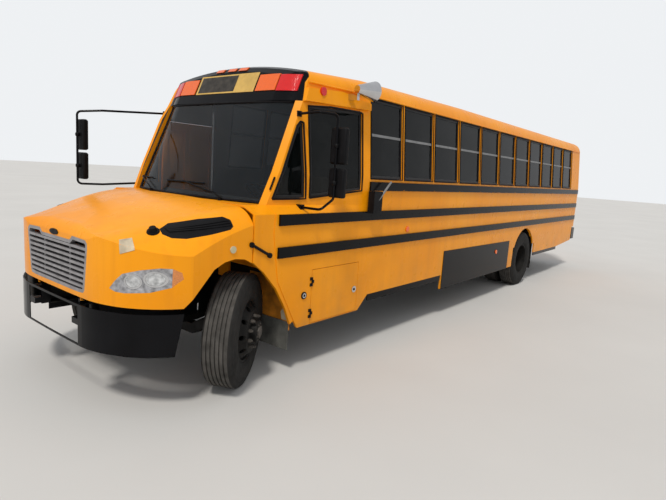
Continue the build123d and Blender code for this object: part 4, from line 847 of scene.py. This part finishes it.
# Seats: rounded benches over their frames, and the driver's seat, from one outline
SEAT_LINE = [(0, 1.333), (0.412, 1.333), (0.437, 1.380), (0.402, 1.426), (0.062, 1.414), (-0.072, 1.985),
             (-0.112, 2.012), (-0.152, 1.985), (-0.022, 1.333)]
BENCH_ROWS, BENCH_FIRST_X, BENCH_PITCH = 12, -2.540, 0.715
BENCH_INNER_Y, BENCH_OUTER_Y = 0.222, 1.138
DRIVER_SEAT = (-1.5, 0.386, 0.874)
heap = Heap()
places = [(BENCH_FIRST_X - BENCH_PITCH * k, side * BENCH_INNER_Y, side * BENCH_OUTER_Y)
          for k in range(BENCH_ROWS) for side in (1, -1)] + [DRIVER_SEAT]
for x, y0, y1 in places:
    y0, y1 = min(y0, y1), max(y0, y1)
    points = [(x + dx, y, z) for y in (y0, y1) for dx, z in SEAT_LINE]
    count = len(SEAT_LINE)
    faces = [(k, (k + 1) % count, count + (k + 1) % count, count + k) for k in range(count)]
    heap.add(points, faces + [tuple(range(count))[::-1], tuple(range(count, 2 * count))])
benches = heap.make("bench_pads", "body", VINYL, smooth=60, bevel=0.022)
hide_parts("seats")

# On the hood: a round mount, a plain oval at the nose, rubber latches at its rear corners and a painted
# highlight on the fender's crown
MOUNT_X, MOUNT_Y = 0.489, 0.900
OVAL_Y, OVAL_Z, OVAL_RADIUS, OVAL_STRETCH = -0.020, 1.335, 0.024, 3.2
LATCH_FRONT_X, LATCH_TOP_Z, LATCH_STEP_X, LATCH_STEP_Z, LATCH_POINTS = -0.245, 1.318, 0.030, 0.0155, 8
# Places of the black liners that paint the shade inside the front wheel
SHADE_LINER_Y, SHADE_LINER_OUTER_Y, SHADE_LINER_LOW_Z = 0.470, 0.476, 0.545
heap = Heap()
spot, normal = touch(["hood"], (MOUNT_X, MOUNT_Y, TOP_START), DOWNWARD)
heap.rod(spot - normal * 0.004, spot + normal * 0.012, 0.052, 28, 0.046)
heap.rod(spot + normal * 0.012, spot + normal * 0.040, 0.034, 24, 0.026)
heap.make("hood_mount", "hood", SATIN_BLACK, smooth=40)
wide = []
for row in polar(["hood"], (OVAL_Y, OVAL_Z), 0.0, OVAL_RADIUS, 24, True):
    wide.append([touch(["hood"], (NOSE_START, OVAL_Y + (spot.y - OVAL_Y) * OVAL_STRETCH, spot.z), BACKWARD)
                 for spot, _ in row])
patch("nose_oval", "hood", SATIN_BLACK, wide, 0.0005, 0.006, 40)
for word, side in SIDES:
    heap = Heap()
    strap = []
    for k in range(LATCH_POINTS):
        x, z = LATCH_FRONT_X - LATCH_STEP_X * k, LATCH_TOP_Z - LATCH_STEP_Z * k
        found = touch_side(["hood", "cowl"], x, z, side)
        if found:
            strap.append(found[0] + found[1] * 0.010)
    heap.tube(strap, 0.013, 8)
    for end in (strap[0], strap[-1]):
        heap.rod(end - Vector((0, side * 0.012, 0)), end + Vector((0, side * 0.008, 0)), 0.024, 16)
    heap.make("hood_latch_" + word, "body", SATIN_BLACK, smooth=50)
    # Black splash shields inside the front wheel, dark sheets that stand in for the deep shade there: one
    # tilts with the hood and one stays on the body
    heap = Heap()
    heap.box(-0.255, 0.700, side * SHADE_LINER_Y, side * SHADE_LINER_OUTER_Y, SHADE_LINER_LOW_Z, 1.240)
    heap.box(0.560, 0.566, side * SHADE_LINER_Y, side * 0.800, 0.900, 1.060)
    heap.make("dark_shade_liner_" + word, "hood", SATIN_BLACK, bevel=0.002)
    heap = Heap()
    heap.box(-0.620, -0.268, side * SHADE_LINER_Y, side * SHADE_LINER_OUTER_Y, SHADE_LINER_LOW_Z, 1.000)
    heap.make("inner_shade_liner_" + word, "body", SATIN_BLACK, bevel=0.002)
# Painted highlight: a pale patch on the fender's crown, where the light catches the paint
HIGHLIGHT_CORNERS = [(120, 254), (135, 250), (132, 238), (119, 240)]  # places in the picture
patch("painted_highlight_patch", "hood", WORN_AND_HIGHLIGHT_WHITE, seen_grid(["hood"], HIGHLIGHT_CORNERS, (10, 10)), 0.0025, 0.001)

# Paint worn off the arch behind the front wheel
WORN_LINE = [(1.075, 0.53), (1.178, 0.53), (1.178, 0.90), (1.155, 0.88), (1.13, 0.78), (1.10, 0.72),
             (1.085, 0.64), (1.06, 0.60)]
WORN_REAR_X, WORN_FRONT_X = -0.7968, -0.7955
heap = Heap()
for side in (1, -1):
    count = len(WORN_LINE)
    heap.add([(x, side * y, z) for x in (WORN_REAR_X, WORN_FRONT_X) for y, z in WORN_LINE],
             [tuple(range(count)), tuple(range(count, 2 * count))[::-1]]
             + [(k, (k + 1) % count, count + (k + 1) % count, count + k) for k in range(count)])
heap.make("worn_arch_edge", "body", WORN_AND_HIGHLIGHT_WHITE)

# The slanted arm of the stop sign's box, and the handle on the post beside the quarter window
STOP_BAR = [(-1.945, 1.305, 1.665), (-2.03, 1.31, 1.745), (-2.20, 1.31, 1.895)]
HANDLE_U, HANDLE_V, HANDLE_STEP_U, HANDLE_STEP_V = 275.0, 177.5, 1.2, 3.2  # places in the picture
heap = Heap()
heap.tube(STOP_BAR, 0.013, 8)
heap.make("stop_arm_bar", "body", GREY_ARM, smooth=50)
heap = Heap()
grip = [seen(["cowl", "wall_left"], HANDLE_U - HANDLE_STEP_U * k, HANDLE_V + HANDLE_STEP_V * k)
        for k in range(5)]
heap.tube([spot[0] + spot[1] * 0.012 for spot in grip if spot], 0.009, 8)
heap.make("post_handle", "body", SATIN_BLACK, smooth=50)

# Latches, locks and small lamps on the left side
DOOR_LATCH = (-1.758, 0.717)
KEY_SWITCH = (-0.937, 0.772)
MARKER = (-0.042, 1.294)
button("battery_latch", "battery_door", CHROME, "battery_door", DOOR_LATCH, 0.0, 0.036, 0.0005, 0.006)
button("battery_lock", "battery_door", SATIN_BLACK, "battery_door", DOOR_LATCH, 0.0, 0.014, 0.006, 0.004)
button("key_plate", "body", SATIN_BLACK, "wall_left", KEY_SWITCH, 0.0, 0.036, 0.0005, 0.008)
button("key_ring", "body", CHROME, "wall_left", KEY_SWITCH, 0.014, 0.024, 0.008, 0.003)
button("side_marker", "hood", PALE_TAPE, "hood", MARKER, 0.0, 0.030, 0.0005, 0.010)

# Handle and blank plate on the rear door
DOOR_SKIN_X = -10.926
HANDLE_FOOT_X, HANDLE_GRIP_X, HANDLE_Y = -10.945, -10.975, 0.405
HANDLE_FEET_Z = (1.30, 1.62)
heap = Heap()
for z in HANDLE_FEET_Z:
    heap.box(HANDLE_FOOT_X, DOOR_SKIN_X, 0.38, 0.43, z, z + 0.05)
heap.tube([(HANDLE_FOOT_X, HANDLE_Y, 1.325), (HANDLE_GRIP_X, HANDLE_Y, 1.345),
           (HANDLE_GRIP_X, HANDLE_Y, 1.625), (HANDLE_FOOT_X, HANDLE_Y, 1.645)], 0.010)
heap.make("rear_door_handle", "rear_door", CHROME, smooth=50)
heap = Heap()
heap.box(-10.931, DOOR_SKIN_X, -0.17, 0.17, 1.66, 1.80)
heap.make("blank_plate", "rear_door", SIGN_PALE, bevel=0.002)


# Stage: pale floor, pale world and one soft sun
FLOOR_HALF = 90


def make_stage():
    world = bpy.data.worlds.new("studio")
    bpy.context.scene.world = world
    world.use_nodes = True
    nodes, links = world.node_tree.nodes, world.node_tree.links
    light = nodes["Background"]
    light.inputs["Color"].default_value = (0.95, 0.97, 1.0, 1)
    light.inputs["Strength"].default_value = 0.62
    pale = nodes.new("ShaderNodeBackground")
    pale.inputs["Color"].default_value = (0.86, 0.88, 0.90, 1)
    ray = nodes.new("ShaderNodeLightPath")
    choose = nodes.new("ShaderNodeMixShader")
    links.new(ray.outputs["Is Camera Ray"], choose.inputs["Fac"])
    links.new(light.outputs["Background"], choose.inputs[1])
    links.new(pale.outputs["Background"], choose.inputs[2])
    links.new(choose.outputs["Shader"], nodes["World Output"].inputs["Surface"])
    mesh = bpy.data.meshes.new("floor")
    corners = [(-1, -1), (1, -1), (1, 1), (-1, 1)]
    mesh.from_pydata([(FLOOR_HALF * x, FLOOR_HALF * y, 0) for x, y in corners], [], [(0, 1, 2, 3)])
    floor = bpy.data.objects.new("floor", mesh)
    bpy.context.scene.collection.objects.link(floor)
    floor.data.materials.append(plain_material("pale_floor", (0.62, 0.61, 0.59), 0.03, 0.4, (0.7, 0.9)))
    sun = bpy.data.lights.new("key", "SUN")
    sun.energy = 1.9
    sun.angle = math.radians(9)
    sun.color = (1.0, 0.96, 0.9)
    key = bpy.data.objects.new("key", sun)
    bpy.context.scene.collection.objects.link(key)
    key.rotation_euler = Vector((-0.55, -0.25, -0.9)).to_track_quat("-Z", "Y").to_euler()
    bpy.context.scene.view_settings.view_transform = "Standard"


make_stage()
